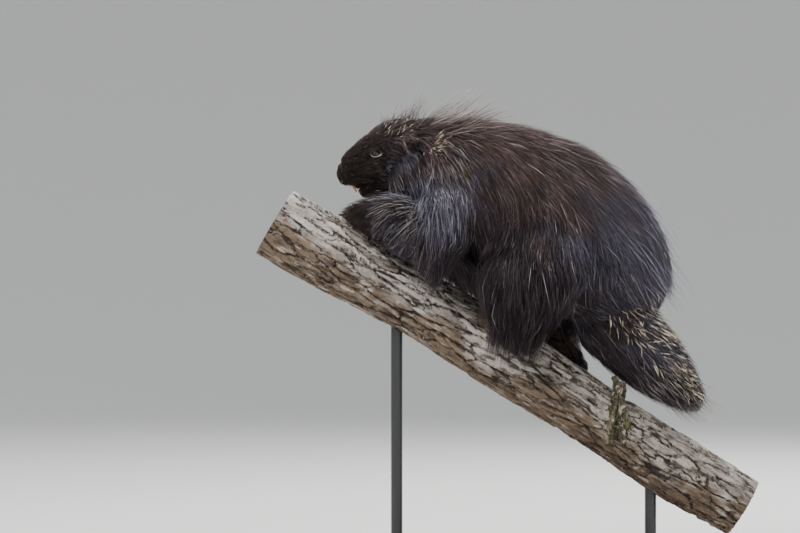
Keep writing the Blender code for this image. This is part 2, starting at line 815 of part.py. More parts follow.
class Coat:
    """One stretch of coat: where its locks or quills are rooted and how they lie.

    places are shares of the loft's length, degrees run round it from the left side, rise is how
    far the tips stand above the loft, and droop is how many degrees the lie turns from straight
    back to straight down at the sides. A coat with no width is one of quills.
    """

    def __init__(self, stations, inset, places, degrees, spacing, long, wide=0.0, rise=0.0, droop=0.0):
        self.stations = stations
        self.inset = inset
        self.places = places
        self.degrees = degrees
        self.spacing = spacing
        self.long = long
        self.wide = wide
        self.rise = rise
        self.droop = droop
        self.quills = wide == 0

    def roots(self, rng):
        """Each root's place and angle, in staggered rows with a little scatter."""
        low, high = self.degrees
        for row, place in reversed(list(enumerate(self.places))):
            around = mean_radius(self.stations, place) * math.radians(high - low)
            count = max(2, round(around / self.spacing))
            stagger = 0.25 if row % 2 else 0.75
            for number in range(count):
                share = (number + stagger) / count
                scatter = rng.uniform(-VARIED_ROUND, VARIED_ROUND) / count
                yield (
                    place + rng.uniform(-VARIED_PLACE, VARIED_PLACE),
                    low + (high - low) * (share + scatter),
                )

    def strand(self, place, degrees, long, lift):
        down = math.radians(self.droop) * math.cos(math.radians(degrees))
        along = long * math.cos(down) / loft_length(self.stations)
        turned = -math.degrees(long * math.sin(down) / mean_radius(self.stations, place))
        root = -self.inset - LOCK_ROOT_DEPTH
        shares = SHORT_POINTS
        if self.quills:
            shares = QUILL_POINTS
        elif self.long > LONG_FROM:
            shares = LONG_POINTS
        heights = [root + (self.rise + lift - root) * share for share in shares]
        return Strand(self.stations, place, degrees, along, turned, shares, heights)

    def shape(self, strand, size, roll, extra=0.0):
        if self.quills:
            return quill_shape(strand, QUILL_RADIUS, extra)
        widths = LONG_WIDTHS if self.long > LONG_FROM else SHORT_WIDTHS
        return lock_shape(strand, [self.wide * size * share for share in widths], LOCK_THICK, roll, extra)


# How a lock that meets another part is tried again: the share of its length, and how far it lifts.
TRIES = (
    (1.0, 0.000),
    (1.0, 0.003),
    (1.0, 0.006),
    (1.0, 0.010),
    (0.8, 0.014),
    (0.7, 0.006),
    (0.5, 0.002),
    (0.4, 0.006),
)


def laid(coat, place, degrees, rng, obstacles, neighbours):
    """One lock clear of every other part, and clear of its neighbours where a try allows it.

    Returns its points and faces with its search tree, or nothing where no try is clear.
    """
    size = rng.uniform(*VARIED_SIZE)
    rise = rng.uniform(*VARIED_RISE)
    roll = rng.uniform(*VARIED_ROLL)
    chosen = None
    for shorter, lift in TRIES:
        strand = coat.strand(place, degrees, coat.long * size * shorter, lift + rise)
        trees = [BVHTree.FromPolygons(*coat.shape(strand, size, roll, extra)) for extra in CLEARANCES]
        if any(tree.overlap(obstacle) for tree in trees for obstacle in obstacles):
            continue
        tree = trees[-1]
        free = not any(tree.overlap(neighbour) for neighbour in neighbours)
        if free or not chosen:
            chosen = (coat.shape(strand, size, roll), tree)
        if free:
            break
    return chosen


def unclosed_edges(mesh):
    """How many edges don't have two faces once corners that are stored alike are one."""
    numbers = {}
    alike = []
    for vert in mesh.vertices:
        stored = tuple(round(value / STORED_STEP) for value in vert.co)
        alike.append(numbers.setdefault(stored, len(numbers)))
    uses = Counter()
    for face in mesh.polygons:
        corners = [alike[vert] for vert in face.vertices]
        if len(set(corners)) > 2:
            uses.update(frozenset(pair) for pair in zip(corners, corners[1:] + corners[:1]))
    return sum(1 for edge, count in uses.items() if len(edge) == 2 and count != 2)


def clothe(obj, coats, others, seed):
    """Roots the coats' locks and quills in a part, clear of every other part, and joins them."""
    core = obj.data
    obstacles = [tree_of(other) for other in others]
    for attempt in range(COAT_ATTEMPTS):
        rng = random.Random(COAT_SEED + seed + attempt * 100)
        pieces = []
        neighbours = []
        for coat in coats:
            for place, degrees in coat.roots(rng):
                chosen = laid(coat, place, degrees, rng, obstacles, neighbours)
                if chosen:
                    pieces.append(piece_of_coat(*chosen[0]))
                    neighbours.append(chosen[1])
        obj.data = core
        unite_many(obj, pieces)
        if unclosed_edges(obj.data) <= unclosed_edges(core):
            break
    print(obj.name, "coat:", len(pieces), "pieces, laid", attempt + 1, "times")
    return obj


def rows(first, last, count):
    """Evenly spaced places along a loft."""
    return [first + (last - first) * number / (count - 1) for number in range(count)]


HEAD = head_stations()

HEAD_COATS = [
    Coat(HEAD, 0.0, [0.62], (-70, -10), spacing=0.018, long=0.036, wide=0.0085, rise=0.013, droop=25),
    Coat(HEAD, 0.0, [0.62], (190, 250), spacing=0.018, long=0.036, wide=0.0085, rise=0.013, droop=25),
    Coat(HEAD, 0.0, [0.58, 0.78], (35, 145), spacing=0.020, long=0.036, wide=0.0085, rise=0.015),
]

NECK_COATS = [
    Coat(BODY, BODY_INSET, [0.02, 0.12], (-80, 260), spacing=0.028, long=0.056, wide=0.016, droop=40),
    Coat(BODY, BODY_INSET, [0.01, 0.06, 0.11], (20, 160), spacing=0.022, long=0.058, rise=0.036, droop=10),
]

TORSO_COATS = [
    Coat(
        BODY, BODY_INSET, rows(0.27, 0.94, 8), (-72, 252),
        spacing=0.038, long=0.073, wide=0.0215, rise=0.002, droop=42,
    ),
    Coat(
        BODY, BODY_INSET, rows(0.26, 0.82, 4), (250, 290),
        spacing=0.032, long=0.054, wide=0.017, rise=0.013,
    ),
    Coat(BODY, BODY_INSET, [0.86, 0.95], (25, 155), spacing=0.024, long=0.044, rise=0.010, droop=20),
]

TAIL_COATS = [
    Coat(TAIL, TAIL_INSET, rows(0.12, 0.82, 4), (-85, 25), spacing=0.024, long=0.052, wide=0.012),
    Coat(TAIL, TAIL_INSET, rows(0.12, 0.82, 4), (155, 265), spacing=0.024, long=0.052, wide=0.012),
    Coat(TAIL, TAIL_INSET, rows(0.06, 0.90, 7), (32, 148), spacing=0.015, long=0.036, rise=0.007),
    Coat(TAIL, TAIL_INSET, [0.98], (0, 360), spacing=0.016, long=0.036, rise=0.003),
]

# The legs' coats: which half, its places, its degrees on the left leg, spacing, length and width.
HIND_COATS = [
    ("upper", rows(0.08, 0.80, 3), (-105, 100), 0.0300, 0.066, 0.0170),
    ("lower", [0.30], (-100, 90), 0.0240, 0.032, 0.0110),
]
FORE_COATS = [
    ("upper", rows(0.10, 0.75, 2), (-100, 100), 0.0250, 0.056, 0.0140),
    ("lower", rows(0.10, 0.55, 2), (-85, 110), 0.0220, 0.045, 0.0120),
]


def leg_coats(sides, side, given):
    """The coat of one leg, on its outer, front and rear faces."""
    coats = []
    for half, places, (low, high), spacing, long, wide in given:
        facing = (low, high) if side < 0 else (180 - high, 180 - low)
        coats.append(Coat(sides[half], LEG_INSET, places, facing, spacing, long, wide))
    return coats


def build():
    clear_scene()
    fur = material("coat", (0.030, 0.024, 0.022), 0.62)
    horn = material("claw_horn", (0.055, 0.048, 0.042), 0.40)
    eye = material("eye", (0.010, 0.008, 0.007), 0.08)
    tooth = material("tooth", (0.60, 0.22, 0.05), 0.35)
    bark = material("bark", (0.24, 0.20, 0.165), 0.90)
    plate = material("stand_plate", (0.05, 0.045, 0.042), 0.45)
    metal = material("stand_metal", (0.30, 0.30, 0.31), 0.35, 1.0)

    branch = make_branch(bark)
    make_stand(branch, plate, metal)
    flesh = make_body("flesh")
    torso = make_body("torso", fur)
    subtract(torso, [half_space(NECK_CUT, -NECK_CUT_NORMAL, GAP / 2)])
    head = make_head(fur)
    make_eyes(eye)
    make_incisors(tooth, head)
    neck = make_body("neck", fur)
    subtract(neck, [half_space(NECK_CUT, NECK_CUT_NORMAL, GAP / 2), grown(head)])
    make_ears(head, neck, fur)
    tail = loft("tail", TAIL, 8, 12, fur, ends=(0.5, 0.7), extra=-TAIL_INSET)
    subtract(tail, [grown(flesh), grown(branch)])
    legs = []
    for name, leg, foot, step, size, coats, beside in (
        ("foreleg", FORE_LEG, FORE_FOOT, FAR_FORE_STEP, FORE_SIZE, FORE_COATS, [flesh]),
        ("hindleg", HIND_LEG, HIND_FOOT, FAR_HIND_STEP, HIND_SIZE, HIND_COATS, [flesh, tail]),
    ):
        for side, where in ((-1, "left"), (1, "right")):
            placed = (leg, foot) if side < 0 else stepped(leg, foot, step)
            limb, sides = make_leg(f"{name}_{where}", *placed, side, size, beside, branch, fur, horn)
            legs.append((limb, leg_coats(sides, side, coats)))
    subtract(torso, [grown(branch)])
    bpy.data.objects.remove(flesh)

    clothed = [(head, HEAD_COATS)] + legs + [(tail, TAIL_COATS), (neck, NECK_COATS), (torso, TORSO_COATS)]
    for seed, (obj, coats) in enumerate(clothed):
        others = [other for other in bpy.data.objects if other != obj]
        clothe(obj, coats, others, seed)


build()
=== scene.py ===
# %% [markdown]
# # A life-size porcupine on a cut branch
#
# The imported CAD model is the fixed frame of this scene. It says where the animal, its branch and
# its stand are, and its locks and quills are coarse. In this lesson one smooth skin takes the
# place of its flesh, and many thousands of thin tufts take the place of its locks.

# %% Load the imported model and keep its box
import math

import bmesh
import bpy
import numpy as np
from mathutils import Matrix, Vector, noise
from mathutils.bvhtree import BVHTree


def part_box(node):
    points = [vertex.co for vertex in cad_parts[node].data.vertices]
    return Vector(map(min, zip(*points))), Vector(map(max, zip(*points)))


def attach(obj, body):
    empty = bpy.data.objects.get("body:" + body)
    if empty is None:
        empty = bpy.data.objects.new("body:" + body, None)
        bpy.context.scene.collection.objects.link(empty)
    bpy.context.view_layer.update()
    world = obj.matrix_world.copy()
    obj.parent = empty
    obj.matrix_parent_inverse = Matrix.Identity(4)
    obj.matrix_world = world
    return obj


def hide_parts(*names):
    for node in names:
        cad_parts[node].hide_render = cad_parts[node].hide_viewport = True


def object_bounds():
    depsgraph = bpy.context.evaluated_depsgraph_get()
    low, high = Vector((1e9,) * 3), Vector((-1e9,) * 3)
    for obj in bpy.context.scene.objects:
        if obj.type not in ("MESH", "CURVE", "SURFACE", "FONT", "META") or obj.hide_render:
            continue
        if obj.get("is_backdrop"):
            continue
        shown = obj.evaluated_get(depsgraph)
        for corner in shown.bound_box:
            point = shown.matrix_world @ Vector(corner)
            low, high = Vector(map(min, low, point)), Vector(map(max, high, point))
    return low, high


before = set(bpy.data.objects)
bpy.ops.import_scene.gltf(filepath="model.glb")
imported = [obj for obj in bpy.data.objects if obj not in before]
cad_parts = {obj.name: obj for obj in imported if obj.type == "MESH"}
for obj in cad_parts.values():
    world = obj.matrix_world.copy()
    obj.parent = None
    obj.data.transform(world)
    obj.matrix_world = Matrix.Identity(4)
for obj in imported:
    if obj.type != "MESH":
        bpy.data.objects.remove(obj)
CAD_LOW, CAD_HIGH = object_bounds()
SEED = 11
DRAWS = np.random.default_rng(SEED)
# Vector noise is shifted by random offsets, which this fixes.
noise.seed_set(SEED)
UP = np.array([0.0, 0.0, 1.0])
print("CAD nodes:", len(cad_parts))
print("CAD box, mm:", [round((high - low) * 1000) for low, high in zip(CAD_LOW, CAD_HIGH)])

# %% [markdown]
# ## The branch's line
#
# The branch rises to the animal's head at 31 degrees and wanders a little. The feet, the bark and
# the stand all need the same line, so it is a small set of functions of the distance up the slope.

# %% The branch's sizes, as the solids have them
BRANCH_SLOPE = math.radians(30.9)
BRANCH_MIDDLE = np.array([0.0, 0.0, 0.267])
BRANCH_LOWER = 0.340
BRANCH_UPPER = 0.372
BRANCH_LOWER_RADIUS = 0.0405
BRANCH_UPPER_RADIUS = 0.047
UP_SLOPE = np.array([-math.cos(BRANCH_SLOPE), 0.0, math.sin(BRANCH_SLOPE)])
OFF_SLOPE = np.array([math.sin(BRANCH_SLOPE), 0.0, math.cos(BRANCH_SLOPE)])
ACROSS = np.array([0.0, 1.0, 0.0])


# Each wave has a size, radians to the metre, and a start.
RISE_WAVE = (0.006, 7.5, 0.6)
SWAY_WAVE = (0.005, 9.0, 0.0)
SWELL_WAVE = (0.035, 23.0, 1.0)
# From here up, the branch bends away from its slope.
BEND_FROM = 0.22
BEND = 0.10


def wave(along, size, pace, start):
    return size * np.sin(along * pace + start)


def branch_centre(along):
    """Points of the branch's axis, measured up the slope from its middle."""
    along = np.asarray(along, float)[..., None]
    rise = wave(along, *RISE_WAVE) + BEND * np.maximum(0.0, along - BEND_FROM) ** 2
    return BRANCH_MIDDLE + UP_SLOPE * along + OFF_SLOPE * rise + ACROSS * wave(along, *SWAY_WAVE)


def branch_radius(along):
    along = np.asarray(along, float)
    share = (along + BRANCH_LOWER) / (BRANCH_LOWER + BRANCH_UPPER)
    even = BRANCH_LOWER_RADIUS + (BRANCH_UPPER_RADIUS - BRANCH_LOWER_RADIUS) * share
    return even * (1 + wave(along, *SWELL_WAVE))


def off_branch(angle):
    """Directions straight out of the branch, turned from its top towards the animal's right."""
    angle = np.asarray(angle, float)[..., None]
    return OFF_SLOPE * np.cos(angle) + ACROSS * np.sin(angle)


def on_branch(along, round_bark, lift):
    """A point above the bark: metres up the slope, metres round the bark from its top, height."""
    angle = round_bark / branch_radius(along)
    return branch_centre(along) + off_branch(angle) * (branch_radius(along) + lift)


print("branch thickness at the ends, mm:", branch_radius([-BRANCH_LOWER, BRANCH_UPPER]) * 2000)

# %% [markdown]
# ## Forms
#
# Each part of the body is a form: a smooth row of oval rings with a dome at each end. A form can
# say where any point over it is, from how far along it is, which way round, and how high. The skin
# and every tuft of the coat are placed by these three numbers, so that they always agree.

# %% A form: a smooth row of oval rings
FINE_ROWS = 90
DOME_ANGLES = (15, 30, 45, 60, 72, 82, 88)
LEAST_HALF = 0.0004


def smooth_rows(rings, places):
    """Rows on a smooth curve through the given rings, at places from 0 to 1."""
    spans = len(rings) - 1
    index = np.minimum((places * spans).astype(int), spans - 1)
    t = (places * spans - index)[:, None]
    a, b, c, d = (rings[np.clip(index + step, 0, spans)] for step in (-1, 0, 1, 2))
    bend = (2 * a - 5 * b + 4 * c - d) * t**2 + (3 * b - a - 3 * c + d) * t**3
    return (2 * b + (c - a) * t + bend) / 2


def dome_rows(last, before, share):
    """Rows that close an end as a dome of the given share of its radius."""
    outward = last[:3] - before[:3]
    outward /= np.linalg.norm(outward)
    rows = []
    for angle in DOME_ANGLES:
        turn = math.radians(angle)
        row = last.copy()
        row[:3] += outward * min(last[3], last[4]) * share * math.sin(turn)
        row[3:5] *= math.cos(turn)
        rows.append(row)
    return rows


def unit(vectors):
    return vectors / np.maximum(np.linalg.norm(vectors, axis=-1, keepdims=True), 1e-12)


class Form:
    """Rings of x, y, z, half height, half width, the way up and a roundness, in metres.

    The flesh lies deeper than the rings by the inset, and stops short of the end by the tuck.
    """

    def __init__(self, name, rings, domes=(0.5, 0.5), inset=0.0, tuck=0.0):
        self.name = name
        self.inset = inset
        self.tuck = tuck
        rings = np.array(rings, float)
        even = smooth_rows(rings, np.linspace(0, 1, FINE_ROWS))
        start = dome_rows(even[0], even[1], domes[0])[::-1] if domes[0] else []
        end = dome_rows(even[-1], even[-2], domes[1]) if domes[1] else []
        self.rows = np.array([*start, *even, *end])
        self.forward = unit(np.gradient(self.rows[:, :3], axis=0))
        up = self.rows[:, 5:8]
        self.up = unit(up - self.forward * (up * self.forward).sum(1, keepdims=True))
        self.aside = np.cross(self.forward, self.up)
        if self.aside[:, 1].mean() > 0:
            self.aside *= -1
        steps = np.linalg.norm(np.diff(self.rows[:, :3], axis=0), axis=1)
        self.reach = np.concatenate([[0.0], np.cumsum(steps)])
        self.length = self.reach[-1]

    def mix(self, columns, along):
        """Columns of numbers, each between the rows on either side of the place."""
        return np.stack([np.interp(along, self.reach, column) for column in columns.T], axis=-1)

    def radius(self, along):
        return self.mix(self.rows[:, 3:5], along).mean(axis=-1)

    def at(self, along, degrees, height, least=0.0):
        """Points over the form. Past an end they go straight on, no nearer the axis than least."""
        within = np.clip(along, 0.0, self.length)
        past = (along - within)[..., None]
        centre = self.mix(self.rows[:, :3], within) + unit(self.mix(self.forward, within)) * past
        half = np.maximum(self.mix(self.rows[:, 3:5], within), np.asarray(least)[..., None])
        half = np.maximum(half + np.asarray(height)[..., None], LEAST_HALF)
        power = self.mix(self.rows[:, 8:9], within)[..., 0]
        angle = np.radians(degrees)
        c, s = np.cos(angle), np.sin(angle)
        shrink = (np.abs(c) ** power + np.abs(s) ** power) ** (-1 / power)
        sideways = self.mix(self.aside, within) * (c * half[..., 1] * shrink)[..., None]
        upwards = self.mix(self.up, within) * (s * half[..., 0] * shrink)[..., None]
        return centre + sideways + upwards


print("rows in a form:", FINE_ROWS + 2 * len(DOME_ANGLES))

# %% [markdown]
# ## The body's sizes
#
# These are the solids' own sizes: the rings out to the tips of the coat, and how deep the flesh
# lies below them. The skin is made at that depth, so the coat has room to lie on it.

# %% Back and tail
BODY_INSET = 0.0125
TAIL_INSET = 0.0095
LEG_INSET = 0.0075
HEAD_INSET = 0.0010
BODY_TUCK = 0.034
TAIL_TUCK = 0.030


def middle_rings(rows):
    """Rings whose centres lie on the animal's middle plane: x, z, half height, half width."""
    return [(x, 0, z, high, wide, 0, 0, 1, 2) for x, z, high, wide in rows]


BODY_ROWS = [
    (-0.1600, 0.5400, 0.0550, 0.0480),
    (-0.1330, 0.5300, 0.0665, 0.0560),
    (-0.0950, 0.5130, 0.0835, 0.0710),
    (-0.0500, 0.4950, 0.0990, 0.0880),
    (-0.0090, 0.4765, 0.1075, 0.0990),
    (0.0430, 0.4510, 0.1115, 0.1070),
    (0.0900, 0.4225, 0.1020, 0.1040),
    (0.1290, 0.3900, 0.0800, 0.0830),
    (0.1500, 0.3650, 0.0560, 0.0560),
]
TAIL_ROWS = [
    (0.1080, 0.3450, 0.0560, 0.0540),
    (0.1420, 0.3060, 0.0490, 0.0500),
    (0.1760, 0.2710, 0.0410, 0.0440),
    (0.2050, 0.2430, 0.0285, 0.0330),
    (0.2240, 0.2240, 0.0165, 0.0190),
]
BODY = Form("body", middle_rings(BODY_ROWS), (0.3, 0.6), BODY_INSET, BODY_TUCK)
TAIL = Form("tail", middle_rings(TAIL_ROWS), (0.5, 0.7), TAIL_INSET, TAIL_TUCK)
print("length of back and tail, mm:", [round(form.length * 1000) for form in (BODY, TAIL)])

# %% Head and lower jaw
NOSE_TIP = np.array([-0.2366, 0.0, 0.5230])
HEAD_PITCH = math.radians(22)
HEAD_BACK = np.array([math.cos(HEAD_PITCH), 0, math.sin(HEAD_PITCH)])
HEAD_UP = np.array([-math.sin(HEAD_PITCH), 0, math.cos(HEAD_PITCH)])


def on_head(back, aside, above):
    """A point by its distance back from the nose tip, to the animal's right, and above the axis."""
    return NOSE_TIP + HEAD_BACK * back + ACROSS * aside + HEAD_UP * above


def head_rings(rows):
    """Rings square to the head: back, above, half height, half width and roundness."""
    return [[*on_head(row[0], 0, row[1]), *row[2:4], *HEAD_UP, row[4]] for row in rows]


HEAD_ROWS = [
    (0.0015, -0.0010, 0.0080, 0.0095, 2.0),
    (0.0060, -0.0030, 0.0155, 0.0150, 2.3),
    (0.0150, -0.0040, 0.0220, 0.0190, 2.4),
    (0.0290, -0.0045, 0.0270, 0.0235, 2.3),
    (0.0450, -0.0045, 0.0315, 0.0290, 2.2),
    (0.0620, -0.0045, 0.0350, 0.0345, 2.1),
    (0.0800, -0.0035, 0.0370, 0.0375, 2.0),
    (0.0960, -0.0015, 0.0345, 0.0360, 2.0),
    (0.1080, 0.0000, 0.0270, 0.0290, 2.0),
]
JAW_ROWS = [
    (0.0190, -0.0350, 0.0065, 0.0085, 2.0),
    (0.0280, -0.0345, 0.0105, 0.0130, 2.0),
    (0.0420, -0.0330, 0.0130, 0.0170, 2.0),
    (0.0600, -0.0300, 0.0145, 0.0210, 2.0),
    (0.0800, -0.0260, 0.0150, 0.0230, 2.0),
]
HEAD = Form("head", head_rings(HEAD_ROWS), (0.5, 0.5), HEAD_INSET)
JAW = Form("jaw", head_rings(JAW_ROWS), (0.6, 0.6), HEAD_INSET)
print("length of head and jaw, mm:", [round(form.length * 1000) for form in (HEAD, JAW)])

# %% Legs, given for the left side
FORE_LEG = {
    "upper": [
        (-0.0780, -0.0420, 0.5000, 0.0400, 0.0340, 1, 0, 0, 2),
        (-0.0920, -0.0600, 0.4700, 0.0430, 0.0310, 1, 0, 0, 2),
        (-0.1060, -0.0640, 0.4400, 0.0370, 0.0280, 1, 0, 0, 2),
    ],
    "lower": [
        (-0.1030, -0.0630, 0.4410, 0.0370, 0.0270, 0, 0, 1, 2),
        (-0.1350, -0.0580, 0.4480, 0.0390, 0.0280, 0, 0, 1, 2),
        (-0.1650, -0.0440, 0.4600, 0.0340, 0.0250, 0, 0, 1, 2),
        (-0.1950, -0.0260, 0.4680, 0.0220, 0.0200, 0, 0, 1, 2),
        (-0.2150, -0.0130, 0.4695, 0.0130, 0.0150, 0, 0, 1, 2),
    ],
}
HIND_LEG = {
    "upper": [
        (0.0380, -0.0580, 0.4420, 0.0680, 0.0400, 1, 0, 0.3, 2),
        (0.0200, -0.0800, 0.4080, 0.0680, 0.0380, 1, 0, 0.3, 2),
        (0.0060, -0.0860, 0.3740, 0.0590, 0.0340, 1, 0, 0.2, 2),
        (-0.0010, -0.0760, 0.3450, 0.0480, 0.0290, 1, 0, 0.1, 2),
    ],
    "lower": [
        (-0.0010, -0.0740, 0.3520, 0.0440, 0.0270, 1, 0, 0, 2),
        (-0.0040, -0.0580, 0.3280, 0.0330, 0.0240, 1, 0, 0, 2),
        (-0.0060, -0.0430, 0.3130, 0.0240, 0.0200, 1, 0, 0, 2),
    ],
}
# Feet on the unrolled bark: metres up the slope and round from its top, and a foot's sizes.
FORE_FOOT = {"heel": (0.262, -0.008), "toes": (0.284, 0.012), "digits": 4}
HIND_FOOT = {"heel": (0.020, -0.034), "toes": (0.076, -0.036), "digits": 5}
FORE_SIZE = {"thick": 0.0100, "wide": 0.0160, "spread": 0.0082, "reach": 0.020, "claw": 0.017}
HIND_SIZE = {"thick": 0.0115, "wide": 0.0190, "spread": 0.0082, "reach": 0.022, "claw": 0.018}
# The right feet stand further down the slope than the left ones.
FAR_FORE_STEP = np.array([-0.048, -0.026])
FAR_HIND_STEP = np.array([-0.078, 0.0])
KNEE_SHARE = 0.5


def leg_forms(name, leg, step, side):
    """The two forms of one leg, moved by its foot's step, the knee by part of it."""
    forms = {}
    for half, rings in leg.items():
        moved = np.array(rings, float)
        share = np.linspace(0, 1, len(moved))
        share = share * KNEE_SHARE if half == "upper" else KNEE_SHARE + share * (1 - KNEE_SHARE)
        moved[:, :3] += share[:, None] * (UP_SLOPE * step[0] + ACROSS * step[1])
        moved[:, 1] *= -side
        forms[half] = Form(f"{name}_{half}", moved, (0.4, 0.6), LEG_INSET)
    return forms


def foot_on_bark(foot, step, side):
    """A foot's heel and toes on the unrolled bark."""
    turn = np.array([1, -side])
    return {
        "heel": (np.array(foot["heel"]) + step) * turn,
        "toes": (np.array(foot["toes"]) + step) * turn,
        "digits": foot["digits"],
    }


LEGS = {}
for kind, leg, foot, step, size in (
    ("foreleg", FORE_LEG, FORE_FOOT, FAR_FORE_STEP, FORE_SIZE),
    ("hindleg", HIND_LEG, HIND_FOOT, FAR_HIND_STEP, HIND_SIZE),
):
    for side, where in ((-1, "left"), (1, "right")):
        stepped = step if side > 0 else step * 0
        name = f"{kind}_{where}"
        LEGS[name] = {
            "side": side,
            "forms": leg_forms(name, leg, stepped, side),
            "foot": foot_on_bark(foot, stepped, side),
            "size": size,
        }
print("legs:", list(LEGS))

# %% Paws and toes that rest on the bark
# Rows of a paw: the share from heel to toes, then lift, height and width as shares of its size.
PAW_ROWS = (
    (-0.20, 1.05, 1.35, 0.72),
    (0.22, 0.85, 1.25, 0.85),
    (0.60, 0.65, 1.10, 1.00),
    (1.00, 0.45, 0.90, 0.95),
)
# Rows of a toe: the share of its length, then lift, half height and half width in metres.
TOE_ROWS = (
    (0.0, 0.0050, 0.0060, 0.0050),
    (0.6, 0.0058, 0.0056, 0.0048),
    (1.0, 0.0048, 0.0042, 0.0041),
)
TOE_SETBACK = 0.010
TOE_ROOT_SPREAD = 0.75
TOE_SPLAY = 0.10
OUTER_TOE_SHORTER = 0.07


def resting_ring(place, lift, half_height, half_width):
    """A ring that stands square to the bark."""
    along, round_bark = place
    up = off_branch(round_bark / branch_radius(along))
    return [*on_branch(along, round_bark, lift), half_height, half_width, *up, 2]


def paw_form(name, foot, size):
    heel, toes = foot["heel"], foot["toes"]
    thick, wide = size["thick"], size["wide"]
    rings = []
    for share, lift, high, broad in PAW_ROWS:
        place = heel + (toes - heel) * share
        rings.append(resting_ring(place, thick * lift, thick * high, wide * broad))
    return Form(f"{name}_paw", rings, (0.8, 0.8))


def toe_lines(foot, size):
    """Where each toe starts on the unrolled bark, which way it points and how long it is."""
    forward = unit(foot["toes"] - foot["heel"])
    across = np.array([-forward[1], forward[0]])
    lines = []
    for number in range(foot["digits"]):
        aside = number - (foot["digits"] - 1) / 2
        spread = size["spread"] * TOE_ROOT_SPREAD
        start = foot["toes"] - forward * TOE_SETBACK + across * aside * spread
        way = unit(forward + across * aside * TOE_SPLAY)
        lines.append((start, way, size["reach"] * (1 - OUTER_TOE_SHORTER * aside * aside)))
    return lines


def toe_forms(name, foot, size):
    forms = []
    for start, way, length in toe_lines(foot, size):
        rings = [resting_ring(start + way * length * share, *sizes) for share, *sizes in TOE_ROWS]
        forms.append(Form(f"{name}_toe", rings, (0.6, 0.6)))
    return forms


for name, leg in LEGS.items():
    leg["paw"] = paw_form(name, leg["foot"], leg["size"])
    leg["toes"] = toe_forms(name, leg["foot"], leg["size"])
print("toes:", sum(len(leg["toes"]) for leg in LEGS.values()))

# %% [markdown]
# ## Helpers for meshes
#
# A form becomes a mesh by rolling a flat grid round it: the grid's two long edges meet and are
# merged, and its ends are filled. It is quick, and every quad runs along or round the body.

# %% Pieces, and a grid rolled round a form
MERGE = 1e-6


def new_piece(name, bm, material=None):
    """An object of the bmesh, with smooth shading, whose place is in its mesh."""
    mesh = bpy.data.meshes.new(name)
    bm.to_mesh(mesh)
    bm.free()
    mesh.shade_smooth()
    piece = bpy.data.objects.new(name, mesh)
    bpy.context.scene.collection.objects.link(piece)
    if material:
        mesh.materials.append(material)
    return piece


def rolled_grid(rows, sides, place):
    """A closed tube: place gives points for shares along and round it, both from 0 to 1."""
    bm = bmesh.new()
    bmesh.ops.create_grid(bm, x_segments=rows, y_segments=sides, size=1)
    verts = list(bm.verts)
    shares = np.array([vert.co[:2] for vert in verts]) / 2 + 0.5
    for vert, point in zip(verts, place(shares[:, 0], shares[:, 1])):
        vert.co = point
    bmesh.ops.remove_doubles(bm, verts=bm.verts, dist=MERGE)
    rims = [edge for edge in bm.edges if edge.is_boundary]
    bmesh.ops.holes_fill(bm, edges=rims, sides=0)
    bmesh.ops.recalc_face_normals(bm, faces=bm.faces)
    return bm


def form_mesh(form, rows, sides, extra=0.0):
    """The form's surface at the depth of its flesh."""

    def place(along, around):
        return form.at(along * (form.length - form.tuck), around * 360, extra - form.inset)

    return rolled_grid(rows, sides, place)


def corner_points(piece):
    return np.array([vert.co for vert in piece.data.vertices])


def keep_values(mesh, key, values):
    """A number for each vertex, which the materials read by its name."""
    layer = mesh.attributes.new(key, "FLOAT", "POINT")
    layer.data.foreach_set("value", np.asarray(values, np.float32).ravel())


print("mesh helpers ready")

# %% Join, cut and melt pieces


def evaluated(piece):
    """The piece with its modifiers applied."""
    bpy.context.view_layer.update()
    graph = bpy.context.evaluated_depsgraph_get()
    mesh = bpy.data.meshes.new_from_object(piece.evaluated_get(graph))
    piece.modifiers.clear()
    piece.data = mesh
    return piece


def boolean(piece, others, operation, solver="MANIFOLD"):
    """Joins the others to the piece or cuts them from it, and removes them."""
    for other in others:
        cut = piece.modifiers.new("cut", "BOOLEAN")
        cut.operation = operation
        cut.solver = solver
        cut.object = other
    evaluated(piece)
    for other in others:
        bpy.data.objects.remove(other)
    return piece


def gathered(pieces):
    """One bmesh of all the pieces, which are removed."""
    bm = bmesh.new()
    for piece in pieces:
        bm.from_mesh(piece.data)
        bpy.data.objects.remove(piece)
    return bm


def melted(name, pieces, voxel, smoothing):
    """One closed skin round overlapping pieces, which are removed."""
    skin = new_piece(name, gathered(pieces))
    remesh = skin.modifiers.new("melt", "REMESH")
    remesh.mode = "VOXEL"
    remesh.voxel_size = voxel
    evaluated(skin)
    bm = bmesh.new()
    bm.from_mesh(skin.data)
    for _ in range(smoothing):
        bmesh.ops.smooth_vert(
            bm, verts=bm.verts, factor=0.5, use_axis_x=True, use_axis_y=True, use_axis_z=True
        )
    bm.to_mesh(skin.data)
    bm.free()
    skin.data.shade_smooth()
    return skin


print("joining helpers ready")

# %% [markdown]
# ## The flesh of the body
#
# Back, tail, legs and feet are melted into one skin with a voxel remesh, which rounds the places
# where they meet. The head is melted apart, with smaller voxels, because lids, lips and nostrils
# are fine, and then the two are joined.

# %% Body, legs, feet and toes as one skin
BODY_VOXEL = 0.0030
parts = [new_piece("back", form_mesh(BODY, 60, 64)), new_piece("tail_flesh", form_mesh(TAIL, 40, 40))]
for name, leg in LEGS.items():
    for form in leg["forms"].values():
        parts.append(new_piece(form.name, form_mesh(form, 36, 36)))
    for form in [leg["paw"], *leg["toes"]]:
        parts.append(new_piece(form.name, form_mesh(form, 16, 20)))
body_skin = melted("body_skin", parts, BODY_VOXEL, 3)
print("body skin faces:", len(body_skin.data.polygons))

